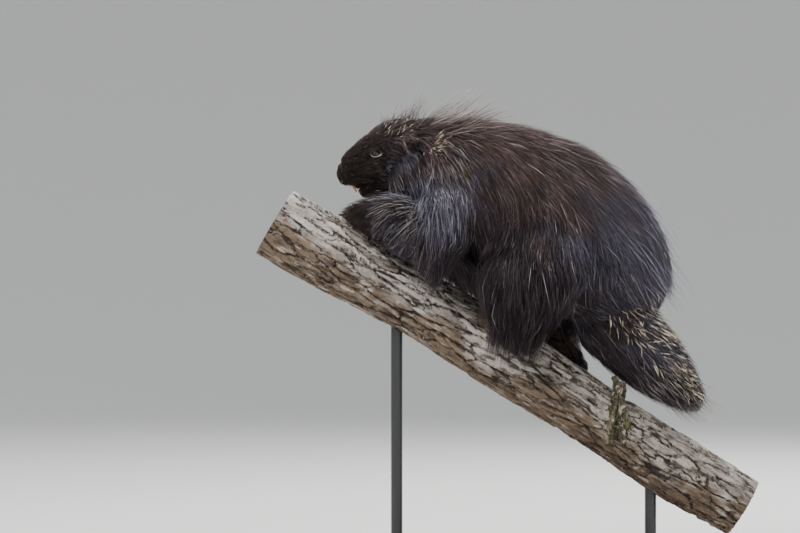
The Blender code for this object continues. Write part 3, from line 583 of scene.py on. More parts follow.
# %% Head with lids, nostrils and mouth
HEAD_TURN = Matrix([HEAD_BACK, ACROSS, HEAD_UP]).transposed()
HEAD_VOXEL = 0.0009
EYE_PLACE = (0.0545, 0.0272, 0.0035)
EYE_RADIUS = 0.0062
SOCKET_GAP = 0.0003
LID_THICKNESS = 0.0022
LID_OPENING = (0.0060, 0.0038)
LID_TILT = math.radians(14)
ALMOND_RADIUS = 0.005
ALMOND_DEEP = 1.1
BROW_SHIFT = (0.0, -0.004, 0.0062)
BROW_RADIUS = 0.0085
BROW_SCALE = (1.25, 0.8, 0.75)
WING_PLACE = (0.0075, 0.0080, 0.0035)
WING_RADIUS = 0.0062
NOSTRIL_PLACE = (0.0045, 0.0090, 0.0030)
NOSTRIL_RADIUS = 0.0030
NOSTRIL_SCALE = (1.4, 1.0, 0.75)
CHIN_GAP_PLACE = (-0.003, 0.0, -0.0335)
CHIN_GAP_RADIUS = 0.0155
CHIN_GAP_SCALE = (1.0, 1.3, 1.0)
MOUTH_ROWS = [
    (-0.002, -0.0180, 0.0008, 0.030, 2),
    (0.016, -0.0170, 0.0008, 0.030, 2),
    (0.031, -0.0155, 0.0005, 0.027, 2),
]
GUM_DEPTH = 0.0050


def ball(name, centre, radius, scale=(1, 1, 1), turn=HEAD_TURN, segments=28):
    bm = bmesh.new()
    bmesh.ops.create_uvsphere(bm, u_segments=segments, v_segments=segments // 2, radius=radius)
    bmesh.ops.scale(bm, vec=scale, verts=bm.verts)
    bmesh.ops.rotate(bm, cent=(0, 0, 0), matrix=turn, verts=bm.verts)
    bmesh.ops.translate(bm, vec=centre, verts=bm.verts)
    return new_piece(name, bm)


def at_side(side, place, shift=(0.0, 0.0, 0.0)):
    """A place on the head given for its right side, on the side asked for."""
    back, aside, above = np.add(place, shift)
    return on_head(back, side * aside, above)


lid_turn = HEAD_TURN @ Matrix.Rotation(LID_TILT, 3, "Y")
almond = (LID_OPENING[0] / ALMOND_RADIUS, ALMOND_DEEP, LID_OPENING[1] / ALMOND_RADIUS)
added = [new_piece("jaw", form_mesh(JAW, 40, 40))]
cutters = []
for side in (-1, 1):
    eye = at_side(side, EYE_PLACE)
    lid_front = at_side(side, EYE_PLACE, (0.0, EYE_RADIUS, 0.0))
    added.append(ball("lids", eye, EYE_RADIUS + LID_THICKNESS))
    added.append(ball("brow", at_side(side, EYE_PLACE, BROW_SHIFT), BROW_RADIUS, BROW_SCALE))
    added.append(ball("wing", at_side(side, WING_PLACE), WING_RADIUS))
    cutters.append(ball("nostril", at_side(side, NOSTRIL_PLACE), NOSTRIL_RADIUS, NOSTRIL_SCALE))
    cutters.append(ball("almond", lid_front, ALMOND_RADIUS, almond, lid_turn))
    cutters.append(ball("socket", eye, EYE_RADIUS + SOCKET_GAP))
cutters.append(ball("chin_gap", on_head(*CHIN_GAP_PLACE), CHIN_GAP_RADIUS, CHIN_GAP_SCALE))
mouth = Form("mouth", head_rings(MOUTH_ROWS), (0, 0))
cutters.append(new_piece("mouth", form_mesh(mouth, 12, 16)))
head_flesh = new_piece("head_flesh", form_mesh(HEAD, 90, 72))
boolean(head_flesh, added, "UNION")
boolean(head_flesh, cutters, "DIFFERENCE")
boolean(head_flesh, [new_piece("gums", form_mesh(HEAD, 60, 40, -GUM_DEPTH))], "UNION")
print("head faces before melting:", len(head_flesh.data.polygons))

# %% Ears, low and round, cupped in front
EAR_PLACE = (0.1050, 0.0365, -0.0120)
EAR_TURN = math.radians(35)
EAR_LEAN = math.radians(-42)
EAR_RADIUS = 0.0160
EAR_SCALE = (0.40, 0.92, 1.10)
EAR_LIFT = 0.0090
EAR_SHARES = (-0.92, -0.6, -0.2, 0.2, 0.6, 0.85, 0.97)
CUP_RADIUS = 0.0130
CUP_SCALE = (0.60, 0.90, 1.10)
CUP_UP = 0.0020
CUP_FORWARD = 0.0066


def ear_axes(side):
    """An ear's turn, its root, and the ways up and to the front."""
    turn = HEAD_TURN @ Matrix.Rotation(side * EAR_TURN, 3, "Z")
    turn = turn @ Matrix.Rotation(side * EAR_LEAN, 3, "X")
    up = np.array(turn @ Vector((0, 0, 1)))
    front = np.array(turn @ Vector((-1, 0, 0)))
    return turn, at_side(side, EAR_PLACE), up, front


def near_ears(spots, reach):
    """Which places lie near the middle of an ear."""
    near = np.zeros(len(spots), bool)
    for side in (-1, 1):
        _, root, up, _ = ear_axes(side)
        near |= np.linalg.norm(spots - root - up * EAR_LIFT, axis=1) < reach
    return near


def ear_form(side):
    """The ear's outside as a form that runs from its root to its top."""
    _, root, up, front = ear_axes(side)
    thick, wide, tall = (EAR_RADIUS * scale for scale in EAR_SCALE)
    rings = []
    for share in EAR_SHARES:
        round_off = math.sqrt(1 - share * share)
        centre = root + up * (EAR_LIFT + tall * share)
        rings.append([*centre, thick * round_off, wide * round_off, *(-front), 2])
    return Form("ear", rings, (0, 0))


def ear_flesh(side):
    turn, root, up, front = ear_axes(side)
    ear = ball("ear", root + up * EAR_LIFT, EAR_RADIUS, EAR_SCALE, turn, 36)
    cup_centre = root + up * (EAR_LIFT + CUP_UP) + front * CUP_FORWARD
    return boolean(ear, [ball("cup", cup_centre, CUP_RADIUS, CUP_SCALE, turn, 36)], "DIFFERENCE")


head_skin = melted("head_skin", [head_flesh, ear_flesh(-1), ear_flesh(1)], HEAD_VOXEL, 2)
print("head skin faces:", len(head_skin.data.polygons))

# %% Join head and body into one skin
skin = boolean(body_skin, [head_skin], "UNION")
skin.name = "porcupine_skin"
skin.data.shade_smooth()
SKIN_TREE = BVHTree.FromObject(skin, bpy.context.evaluated_depsgraph_get())

# The pale rim: how far from the eye's centre, how it tilts, and where it fades above and outwards.
RIM_NEAR = 0.0125
RIM_TILT = 0.25
RIM_UNDER = -0.10
RIM_FADE = 0.0030
RIM_LEAST = 0.06
RIM_REACH = 1.34
RIM_EDGE = 0.12


def eyelid_rim(points):
    """How much each point belongs to the pale rim round an eye, mostly under it."""
    rim = np.zeros(len(points))
    for side in (-1, 1):
        moved = points - at_side(side, EYE_PLACE)
        back = moved @ HEAD_BACK
        above = moved @ HEAD_UP + back * RIM_TILT
        oval = np.hypot(back / LID_OPENING[0], above / LID_OPENING[1])
        near = (np.linalg.norm(moved, axis=1) < RIM_NEAR) & (moved[:, 1] * side > 0)
        under = np.clip(RIM_UNDER - above / RIM_FADE, RIM_LEAST, 1)
        rim = np.maximum(rim, near * under * np.clip((RIM_REACH - oval) / RIM_EDGE, 0, 1))
    return rim


keep_values(skin.data, "rim", eyelid_rim(corner_points(skin)))
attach(skin, "root")
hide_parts("torso", "neck", "head", "tail", "ear_left", "ear_right", *LEGS)
print("skin faces:", len(skin.data.polygons))

# %% [markdown]
# ## Colours of the coat, with painted light and painted sheen
#
# A porcupine's guard hair is nearly black. It looks brown where the light comes through it on the
# back, and blue-grey on the flanks, where it lies flat and shines: both are painted into the colour
# here, as painted light on the back and painted sheen on the flanks. Skin and coat read the same
# shader node group, so that a gap in the coat never shows another colour.

# %% Small helpers for shader nodes


def new_material(name, roughness, metallic=0.0):
    """A material with its node tree and its Principled BSDF."""
    material = bpy.data.materials.new(name)
    material.use_nodes = True
    tree = material.node_tree
    shader = tree.nodes["Principled BSDF"]
    shader.inputs["Roughness"].default_value = roughness
    shader.inputs["Metallic"].default_value = metallic
    return material, tree, shader


def feed(tree, node, key, value):
    """Links a socket to the node's input, or sets the input to a plain value."""
    if isinstance(value, bpy.types.NodeSocket):
        tree.links.new(value, node.inputs[key])
    else:
        node.inputs[key].default_value = value


def add_node(tree, kind, inputs=None, **settings):
    """A node with its settings, whose inputs are set to values or linked to sockets."""
    node = tree.nodes.new(kind)
    for key, value in settings.items():
        setattr(node, key, value)
    for key, value in (inputs or {}).items():
        feed(tree, node, key, value)
    return node


def blend_colours(tree, factor, first, second, how="MIX"):
    """A colour between two others, each a socket or a plain colour."""
    node = add_node(tree, "ShaderNodeMix", data_type="RGBA", blend_type=how)
    feed(tree, node, 0, factor)
    for index, colour in ((6, first), (7, second)):
        feed(tree, node, index, (*colour, 1) if isinstance(colour, tuple) else colour)
    return node.outputs[2]


def smooth_range(tree, value, low, high, to_low=0.0, to_high=1.0):
    """A value mapped smoothly from one range to another, and held at its ends."""
    inputs = {"Value": value, 1: low, 2: high, 3: to_low, 4: to_high}
    return add_node(tree, "ShaderNodeMapRange", inputs, interpolation_type="SMOOTHSTEP").outputs[0]


def maths(tree, first, second, operation="ADD"):
    return add_node(tree, "ShaderNodeMath", {0: first, 1: second}, operation=operation).outputs[0]


def vector_maths(tree, first, second, operation):
    node = add_node(tree, "ShaderNodeVectorMath", {0: first, 1: second}, operation=operation)
    return node.outputs["Value" if operation in ("DOT_PRODUCT", "DISTANCE") else "Vector"]


def noise_texture(tree, position, scale, detail, roughness=0.5):
    inputs = {"Vector": position, "Scale": scale, "Detail": detail, "Roughness": roughness}
    return add_node(tree, "ShaderNodeTexNoise", inputs).outputs["Fac"]


def add_bump(tree, shader, height, strength, distance):
    """A fine relief that only the light sees, for grain too small for the mesh."""
    inputs = {"Height": height, "Strength": strength, "Distance": distance}
    bump = add_node(tree, "ShaderNodeBump", inputs)
    tree.links.new(bump.outputs["Normal"], shader.inputs["Normal"])


def object_position(tree):
    return tree.nodes.new("ShaderNodeTexCoord").outputs["Object"]


def attribute(tree, name):
    return add_node(tree, "ShaderNodeAttribute", attribute_name=name).outputs["Fac"]


def shader_group(name, inputs, outputs):
    """An empty shader node group with its named sockets."""
    group = bpy.data.node_groups.new(name, "ShaderNodeTree")
    for label, kind, default in inputs:
        socket = group.interface.new_socket(name=label, in_out="INPUT", socket_type=kind)
        if default is not None:
            socket.default_value = default
    for label, kind in outputs:
        group.interface.new_socket(name=label, in_out="OUTPUT", socket_type=kind)
    return group, group.nodes.new("NodeGroupInput"), group.nodes.new("NodeGroupOutput")


def place_group(tree, group, inputs):
    return add_node(tree, "ShaderNodeGroup", inputs, node_tree=group)


print("shader helpers ready")

# %% The coat's markings, painted light and painted sheen as a node group
# Painted light: the back is browner and lighter where light comes through the hair.
BACK_PAINTED_LIGHT = (0.100, 0.063, 0.055)
GREY_FLANK = (0.036, 0.025, 0.030)
DARK_FACE = (0.024, 0.014, 0.012)
FOOT_BROWN = (0.085, 0.055, 0.042)
# Painted sheen: the blue-grey shine of flat hair, painted into its colour.
PAINTED_BLUE_SHEEN = (0.105, 0.095, 0.130)
BACK_LINE = unit(np.array([0.492, 0.0, 0.871]))
BACK_MIDDLE = np.array([-0.009, 0.0, 0.4765])
# Painted sheen: where the flat hair shines blue-grey, painted into its colour. Each patch's middle
# seen from the side, reach and strength.
PAINTED_SHEEN_PATCHES = [
    ("shoulder", (-0.112, 0.0, 0.472), 0.062, 0.72),
    ("cheek", (-0.165, 0.0, 0.517), 0.028, 0.80),
    ("forearm", (-0.170, 0.0, 0.462), 0.032, 0.12),
    ("rump", (0.165, 0.0, 0.430), 0.130, 0.85),
    ("tail root", (0.165, 0.0, 0.300), 0.035, 0.50),
]
# Ranges over which the markings, the painted light and the painted sheen blend, in metres, or in
# shares of a patch's reach.
BACK_EDGE = (-0.05, 0.085)
FACE_EDGE = (0.055, 0.125)
FOOT_EDGE = (0.022, 0.050)
PATCH_EDGE = (0.1, 1.3)
UNEVEN = 0.03
FOOT_LIFT = 0.006

markings_and_painted_light, start, end = shader_group(
    "coat_markings_and_painted_light",
    [("Position", "NodeSocketVector", None)],
    [("Color", "NodeSocketColor"), ("Sheen", "NodeSocketFloat")],
)
position = start.outputs["Position"]
blotches = noise_texture(markings_and_painted_light, position, 24.0, 3.0)
uneven = smooth_range(markings_and_painted_light, blotches, 0.3, 0.7, -UNEVEN, UNEVEN)
over = vector_maths(markings_and_painted_light, position, BACK_LINE, "DOT_PRODUCT")
over = maths(markings_and_painted_light, over, float(BACK_LINE @ BACK_MIDDLE), "SUBTRACT")
# Painted light over the back line, where the hair lets light through.
painted_back_light = smooth_range(markings_and_painted_light, maths(markings_and_painted_light, over, uneven), *BACK_EDGE)
colour = blend_colours(markings_and_painted_light, painted_back_light, GREY_FLANK, BACK_PAINTED_LIGHT)
from_side = vector_maths(markings_and_painted_light, position, (1, 0, 1), "MULTIPLY")
painted_sheen = None
# Painted sheen, patch by patch.
for _, place, reach, most in PAINTED_SHEEN_PATCHES:
    away = maths(markings_and_painted_light, vector_maths(markings_and_painted_light, from_side, place, "DISTANCE"), uneven)
    low, high = (reach * share for share in PATCH_EDGE)
    patch = smooth_range(markings_and_painted_light, away, low, high, most, 0.0)
    colour = blend_colours(markings_and_painted_light, patch, colour, PAINTED_BLUE_SHEEN)
    painted_sheen = maths(markings_and_painted_light, painted_sheen, patch, "MAXIMUM") if painted_sheen else patch
from_nose = vector_maths(markings_and_painted_light, position, NOSE_TIP, "DISTANCE")
face = smooth_range(markings_and_painted_light, from_nose, *FACE_EDGE, 1.0, 0.0)
colour = blend_colours(markings_and_painted_light, face, colour, DARK_FACE)
for leg in LEGS.values():
    middle = leg["foot"]["heel"] * 0.3 + leg["foot"]["toes"] * 0.7
    from_foot = vector_maths(markings_and_painted_light, position, on_branch(*middle, FOOT_LIFT), "DISTANCE")
    near = smooth_range(markings_and_painted_light, from_foot, *FOOT_EDGE, 1.0, 0.0)
    colour = blend_colours(markings_and_painted_light, near, colour, FOOT_BROWN)
markings_and_painted_light.links.new(colour, end.inputs["Color"])
markings_and_painted_light.links.new(painted_sheen, end.inputs["Sheen"])
print("nodes in the markings:", len(markings_and_painted_light.nodes))

# %% Skin, fur and quill materials
SKIN_SHADE = (0.50, 0.46, 0.46)
LID_RIM = (0.33, 0.31, 0.33)
PALE_TIP = (0.50, 0.45, 0.42)
# Painted sheen on pale tips: they turn blue-grey where the painted sheen lies.
PAINTED_SHEEN_TIP = (0.40, 0.42, 0.56)
SHAFT_DULL = (0.50, 0.39, 0.25)
SHAFT_BRIGHT = (0.86, 0.79, 0.64)
QUILL_POINT = (0.045, 0.032, 0.025)
TINT_DARKEST = 0.12
TINT_LIGHTEST = 2.9
# Painted shade at the roots, where the coat shades itself.
PAINTED_ROOT_SHADE = 0.40


def skin_material():
    material, tree, shader = new_material("skin_hide", 0.72)
    position = object_position(tree)
    # The skin takes the coat's markings with their painted light and painted sheen.
    marks = place_group(tree, markings_and_painted_light, {"Position": position}).outputs["Color"]
    colour = blend_colours(tree, 1.0, marks, SKIN_SHADE, "MULTIPLY")
    colour = blend_colours(tree, attribute(tree, "rim"), colour, LID_RIM)
    tree.links.new(colour, shader.inputs["Base Color"])
    add_bump(tree, shader, noise_texture(tree, position, 900.0, 4.0), 0.5, 0.0006)
    shader.inputs["Specular IOR Level"].default_value = 0.3
    return material


def fur_material():
    """Fur: the markings with painted light and sheen, darker or lighter by tuft, with pale tips on
    some.

    The roots are darkened with painted shade.
    """
    material, tree, shader = new_material("guard_fur", 0.55)
    marks = place_group(tree, markings_and_painted_light, {"Position": object_position(tree)})
    along = attribute(tree, "along")
    inputs = {"Value": attribute(tree, "tint"), 3: TINT_DARKEST, 4: TINT_LIGHTEST}
    tint = add_node(tree, "ShaderNodeMapRange", inputs)
    # Painted shade: the roots are darkened.
    root = smooth_range(tree, along, 0.05, 0.60, PAINTED_ROOT_SHADE, 1.0)
    shade = maths(tree, tint.outputs[0], root, "MULTIPLY")
    grey = add_node(tree, "ShaderNodeCombineColor", {0: shade, 1: shade, 2: shade}).outputs[0]
    colour = blend_colours(tree, 1.0, marks.outputs["Color"], grey, "MULTIPLY")
    pale = maths(tree, attribute(tree, "pale"), smooth_range(tree, along, 0.15, 0.75), "MULTIPLY")
    # Pale tips take the painted sheen's blue-grey.
    tip = blend_colours(tree, marks.outputs["Sheen"], PALE_TIP, PAINTED_SHEEN_TIP)
    colour = blend_colours(tree, pale, colour, tip)
    tree.links.new(colour, shader.inputs["Base Color"])
    shader.inputs["Specular IOR Level"].default_value = 0.3
    return material


def quill_material():
    """Quills: yellow-white shafts with dark points."""
    material, tree, shader = new_material("quill_shaft", 0.35)
    bright = smooth_range(tree, attribute(tree, "tint"), 0.1, 0.6)
    shaft = blend_colours(tree, bright, SHAFT_DULL, SHAFT_BRIGHT)
    point = smooth_range(tree, attribute(tree, "along"), 0.82, 0.96)
    tree.links.new(blend_colours(tree, point, shaft, QUILL_POINT), shader.inputs["Base Color"])
    return material


SKIN_HIDE = skin_material()
GUARD_FUR = fur_material()
QUILL_SHAFT = quill_material()
skin.data.materials.clear()
skin.data.materials.append(SKIN_HIDE)
print("coat materials:", SKIN_HIDE.name, GUARD_FUR.name, QUILL_SHAFT.name)

# %% [markdown]
# ## How tufts grow
#
# A tuft is a thin closed blade of three sides that ends in a point. Its root lies in the skin, and
# it rises to the outline and bends with the body. Tufts of one small clump lean the same way, as
# real guard hair does. All tufts of a stretch of coat are worked out together as arrays, which
# takes seconds where one object for each would take hours.

# %% Roots, spread evenly over part of a form
PATCH = 0.003
HIDDEN_DEPTH = 0.004
ROOTS_TO_END = 0.85
# Tufts come in clumps and in streaks along the lie: each one's length and width on the skin.
CLUMP_SIZE = (0.013, 0.013)
STREAK_SIZE = (0.045, 0.0042)
CELLS_IN_ROW = 4099


def table(places, pairs):
    """A value that changes evenly between the given places."""
    steps, values = zip(*pairs)
    return np.interp(places, steps, values)


def draw_roots(form, count, places, degrees):
    """Distances along the form and angles round it, as many to a square metre everywhere."""
    low, high = (share * (form.length - form.tuck * ROOTS_TO_END) for share in places)
    widest = form.radius(np.linspace(low, high, 50)).max()
    along = DRAWS.uniform(low, high, count * 3)
    keep = DRAWS.uniform(0, widest, count * 3) < form.radius(along)
    along = along[keep][:count]
    return along, DRAWS.uniform(*degrees, len(along))


def clump_draws(along, around, size):
    """Three random numbers that all the tufts of a clump share."""
    cells = np.floor(along / size[0]) * CELLS_IN_ROW + np.floor(around / size[1])
    unique, index = np.unique(cells, return_inverse=True)
    return DRAWS.normal(size=(len(unique), 3))[index.reshape(-1)]


def hidden_roots(form, along, degrees):
    """Which roots lie deep inside another part of the flesh."""
    hidden = []
    for point in form.at(along, degrees, np.full(len(along), -form.inset)):
        nearest, normal, _, _ = SKIN_TREE.find_nearest(Vector(point))
        hidden.append((Vector(point) - nearest).dot(normal) < -HIDDEN_DEPTH)
    return np.array(hidden, bool)


def tuft_roots(form, count, places, degrees, bare):
    """Roots over part of a form, without those that are bare or hidden."""
    along, around = draw_roots(form, count, places, degrees)
    keep = ~hidden_roots(form, along, around)
    if bare:
        keep &= ~bare(form.at(along, around, np.full(len(along), -form.inset)))
    return along[keep], around[keep]


print("clumps and streaks, mm:", [round(size * 1000, 1) for size in CLUMP_SIZE + STREAK_SIZE])

# %% Keep strands outside the flesh and the branch
DRAPE_FROM = 0.003
BARK_CLEARANCE = 0.0012


def clear_of_flesh(points, clearance, drape):
    """Points moved out of the skin to a small height over it.

    Where another part of the body is in the way, they are laid over its coat, at the drape.
    """
    moved = points.copy()
    for index, point in enumerate(points):
        spot = Vector(point)
        nearest, normal, _, _ = SKIN_TREE.find_nearest(spot)
        height = (spot - nearest).dot(normal)
        if height < clearance[index]:
            inside = min(max(-height / DRAPE_FROM, 0.0), 1.0)
            over = clearance[index] + (drape[index] - clearance[index]) * inside
            moved[index] = np.array(nearest + normal * over)
    return moved


def clear_of_branch(points):
    """Points moved straight out of the branch's bark."""
    along = np.clip((points - BRANCH_MIDDLE) @ UP_SLOPE, -BRANCH_LOWER, BRANCH_UPPER)
    out = points - branch_centre(along)
    out -= (out @ UP_SLOPE)[:, None] * UP_SLOPE
    distance = np.linalg.norm(out, axis=1)
    least = branch_radius(along) + BARK_CLEARANCE
    inside = np.maximum(least - distance, 0.0)
    return points + unit(out) * inside[:, None]


print("clearances ready")

# %% Tufts as one mesh
BLADE_ANGLES = (math.pi / 2, math.pi * 7 / 6, math.pi * 11 / 6)


def tuft_frame(points, outward):
    """The ways across and out at each ring of each tuft."""
    ahead = np.diff(points, axis=1)
    forward = unit(np.concatenate([ahead[:, :1], ahead], axis=1))[:, :-1]
    across = unit(np.cross(forward, outward[:, None, :]))
    return across, np.cross(across, forward)


def tuft_faces(rings):
    """Corner numbers of one tuft's triangles: its root, its sides and its point."""
    faces = [(0, 2, 1)]
    for near in range(0, (rings - 1) * 3, 3):
        for corner in range(3):
            after = (corner + 1) % 3
            faces.append((near + corner, near + after, near + after + 3))
            faces.append((near + corner, near + after + 3, near + corner + 3))
    last = (rings - 1) * 3
    for corner in range(3):
        faces.append((last + corner, last + (corner + 1) % 3, last + 3))
    return np.array(faces)


def tuft_piece(name, points, outward, widths, flatness, roots_uv, marks, material):
    """All tufts of a piece: points run from root to tip, widths are half widths at each ring."""
    count, steps, _ = points.shape
    rings = steps - 1
    across, out = tuft_frame(points, outward)
    corners = []
    for angle in BLADE_ANGLES:
        aside = across * math.cos(angle) + out * math.sin(angle) * flatness
        corners.append(points[:, :-1] + aside * widths[..., None])
    verts = np.stack(corners, axis=2).reshape(count, rings * 3, 3)
    verts = np.concatenate([verts, points[:, -1:]], axis=1)
    each = rings * 3 + 1
    faces = tuft_faces(rings)
    faces = (faces[None] + (np.arange(count) * each)[:, None, None]).reshape(-1, 3)

    mesh = bpy.data.meshes.new(name)
    mesh.vertices.add(count * each)
    mesh.vertices.foreach_set("co", verts.astype(np.float32).ravel())
    mesh.loops.add(faces.size)
    mesh.loops.foreach_set("vertex_index", faces.astype(np.int32).ravel())
    mesh.polygons.add(len(faces))
    mesh.polygons.foreach_set("loop_start", np.arange(0, faces.size, 3, dtype=np.int32))
    mesh.update(calc_edges=True)

    share = np.repeat(np.linspace(0, 1, steps), [3] * rings + [1])
    corner = np.concatenate([np.tile([0.0, 0.5, 1.0], rings), [0.5]])
    uv = np.empty((count, each, 2))
    uv[..., 0] = roots_uv[:, :1] + (share - 0.5) * PATCH
    uv[..., 1] = roots_uv[:, 1:] + (corner - 0.5) * PATCH
    layer = mesh.uv_layers.new(name="OFBake")
    layer.data.foreach_set("uv", uv.reshape(-1, 2)[faces.ravel()].astype(np.float32).ravel())

    keep_values(mesh, "along", np.tile(share, (count, 1)))
    for key, value in marks.items():
        keep_values(mesh, key, np.repeat(value[:, None], each, axis=1))
    mesh.shade_smooth()
    mesh.materials.append(material)
    piece = bpy.data.objects.new(name, mesh)
    bpy.context.scene.collection.objects.link(piece)
    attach(piece, "root")
    return piece


print("triangles in a long tuft:", len(tuft_faces(3)))

# %% The lie, the length and the curve of tufts
ROOT_SINK = 0.0015
LEAST_LENGTH = 0.012
LEAST_RADIUS = 0.008
MOST_CLEARANCE = 0.0040
LENGTH_VARIES = 0.18
LENGTH_BY_CLUMP = 0.08


def lie_and_clumps(form, along, around, droop):
    """How far the hair turns down at each root, and its clump's and its streak's own numbers."""
    arc = form.radius(along) * np.radians(around)
    clump = clump_draws(along, arc, CLUMP_SIZE)
    lie = np.radians(table(along / form.length, droop)) * np.cos(np.radians(around))
    with_hair = along * np.cos(lie) - arc * np.sin(lie)
    across_hair = along * np.sin(lie) + arc * np.cos(lie)
    return lie, clump, clump_draws(with_hair, across_hair, STREAK_SIZE)


def tuft_lengths(form, along, long, past, clump):
    """Lengths that vary, and leave little past the end of a form that is tucked in."""
    count = len(along)
    stray = 1 + DRAWS.normal(size=count) * LENGTH_VARIES + clump[:, 0] * LENGTH_BY_CLUMP
    length = table(along / form.length, long) * np.clip(stray, 0.5, 1.5)
    if form.tuck:
        room = (form.length + past - along) * DRAWS.uniform(0.85, 1.0, count)
        length = np.minimum(length, np.maximum(room, LEAST_LENGTH))
    return length


def tuft_curves(form, along, around, length, yaw, over, shares, rise, converge, drape):
    """Each tuft's points from root to tip, and the way out of the skin at its root."""
    radius = form.radius(along)
    sunk = -form.inset - ROOT_SINK
    points = []
    for step in shares:
        height = sunk + (over - sunk) * (1 - (1 - step) ** rise)
        turned = length * np.sin(yaw) * step / np.maximum(radius, LEAST_RADIUS)
        ahead = along + length * np.cos(yaw) * step
        least = radius * (1 - converge * step)
        points.append(form.at(ahead, around - np.degrees(turned), height, least))
    root_out = unit(form.at(along, around, np.zeros(len(along))) - points[0])
    for index, step in enumerate(shares[1:], 1):
        clearance = np.minimum(MOST_CLEARANCE, length * 0.12) * step
        laid = np.maximum(clearance, drape * min(step * 1.4, 1.0))
        points[index] = clear_of_branch(clear_of_flesh(points[index], clearance, laid))
    return np.stack(points, axis=1), root_out


print("least length of a tuft, mm:", LEAST_LENGTH * 1000)

# %% One stretch of coat
# A long tuft has three segments and a short one two: shares of its length, and of its half width.
LONG_SHARES = (0.0, 0.38, 0.74, 1.0)
SHORT_SHARES = (0.0, 0.55, 1.0)
LONG_WIDTHS = (0.75, 1.0, 0.6)
SHORT_WIDTHS = (0.8, 0.85)
HEIGHT_VARIES = 0.8
HEIGHT_BY_STREAK = 0.6
YAW_BY_CLUMP = 5.0
WIDTH_VARIES = 0.22
TINT_SPREAD = (1.7, 3.6)
TINT_BY_STREAK = 0.11
TINT_BY_CLUMP = 0.03
MEAN_TINT = 0.32
PALE_STRENGTH = (0.35, 1.0)
COAT_TRIANGLES = {}


def everywhere(value):
    """A function of places that gives the same value at each."""
    return lambda spots: np.full(len(spots), value)


def grow(
    name, form, count, places, degrees, long, tip, droop, wide,
    short=False, rough=0.0024, stray=6.0, rise=1.8, converge=0.55, drape=0.0, under=0.0, past=0.004,
    bare=None, pale=everywhere(0.02), even=everywhere(0.0), flatness=0.55, material=GUARD_FUR,
):
    """Grows tufts over part of a form.

    places are shares of the form's length and degrees run round it from the left. long and tip are
    tables over the places: a tuft's length, and how far its tip stands over the outline. droop is
    a table of how many degrees the lie turns at the sides from straight back to straight down.
    wide is half a tuft's width.

    short gives a tuft two segments. rough is how much the heights of the tips differ, in metres,
    and stray how much single tufts turn, in degrees. A high rise lifts a tuft soon. converge is
    how far tufts may close in past a narrow end, drape the height over another part's coat, under
    an extra height on the underside, and past how far tufts may reach beyond the form's end.
    bare, pale and even are functions of the roots' places: where none grow, the share with pale
    tips, and how much alike the tufts are.
    """
    along, around = tuft_roots(form, count, places, degrees, bare)
    count = len(along)
    share = along / form.length
    lie, clump, streak = lie_and_clumps(form, along, around, droop)
    length = tuft_lengths(form, along, long, past, clump)
    uneven = DRAWS.normal(size=count) * HEIGHT_VARIES + streak[:, 1] * HEIGHT_BY_STREAK
    over = table(share, tip) + rough * uneven
    over += under * np.maximum(-np.sin(np.radians(around)), 0.0)
    yaw = lie + np.radians(DRAWS.normal(size=count) * stray + clump[:, 2] * YAW_BY_CLUMP)
    shares, widths = (SHORT_SHARES, SHORT_WIDTHS) if short else (LONG_SHARES, LONG_WIDTHS)
    points, root_out = tuft_curves(
        form, along, around, length, yaw, over, shares, rise, converge, drape
    )
    width = wide * np.clip(1 + DRAWS.normal(size=count) * WIDTH_VARIES, 0.5, 1.6)
    uv = np.stack([0.02 + 0.96 * share, 0.02 + 0.96 * ((around + 90) % 360) / 360], axis=1)
    tint = DRAWS.beta(*TINT_SPREAD, count) + streak[:, 0] * TINT_BY_STREAK
    tint = np.clip(tint + clump[:, 0] * TINT_BY_CLUMP, 0, 1)
    tint += (MEAN_TINT - tint) * even(points[:, 0])
    is_pale = DRAWS.uniform(size=count) < pale(points[:, 0])
    marks = {"tint": tint, "pale": is_pale * DRAWS.uniform(*PALE_STRENGTH, count)}
    widths = width[:, None] * np.array(widths)
    piece = tuft_piece(name, points, root_out, widths, flatness, uv, marks, material)
    COAT_TRIANGLES[name] = len(piece.data.polygons)
    print(f"{name}: {count} tufts, {COAT_TRIANGLES[name]} triangles")


# %% Where pale hairs grow
# Each place is the middle of a pale patch seen from the side, how far it reaches, and the share.
PALE_PATCHES = [
    ("shoulder", (-0.120, 0.484), 0.052, 0.40),
    ("behind the head", (-0.108, 0.545), 0.030, 0.26),
    ("forearm", (-0.160, 0.455), 0.034, 0.12),
    ("mid flank", (0.020, 0.450), 0.060, 0.07),
    ("thigh", (0.060, 0.380), 0.050, 0.07),
    ("rump", (0.140, 0.380), 0.070, 0.08),
    ("cheek", (-0.162, 0.514), 0.023, 0.60),
    ("tail", (0.200, 0.270), 0.060, 0.13),
]
PALE_EVERYWHERE = 0.006
EVEN_MOST = 0.45


def pale_share(spots):
    share = np.full(len(spots), PALE_EVERYWHERE)
    for _, (x, z), reach, most in PALE_PATCHES:
        away = np.hypot(spots[:, 0] - x, spots[:, 2] - z) / reach
        share = np.maximum(share, most * np.clip(1.3 - away, 0, 1))
    return share


def even_back(spots):
    """How much alike the tufts are: most on the back, where the coat is smooth."""
    over = (spots - BACK_MIDDLE) @ BACK_LINE
    return EVEN_MOST * np.clip((over + 0.01) / 0.07, 0, 1)


print("pale patches:", [patch[0] for patch in PALE_PATCHES])

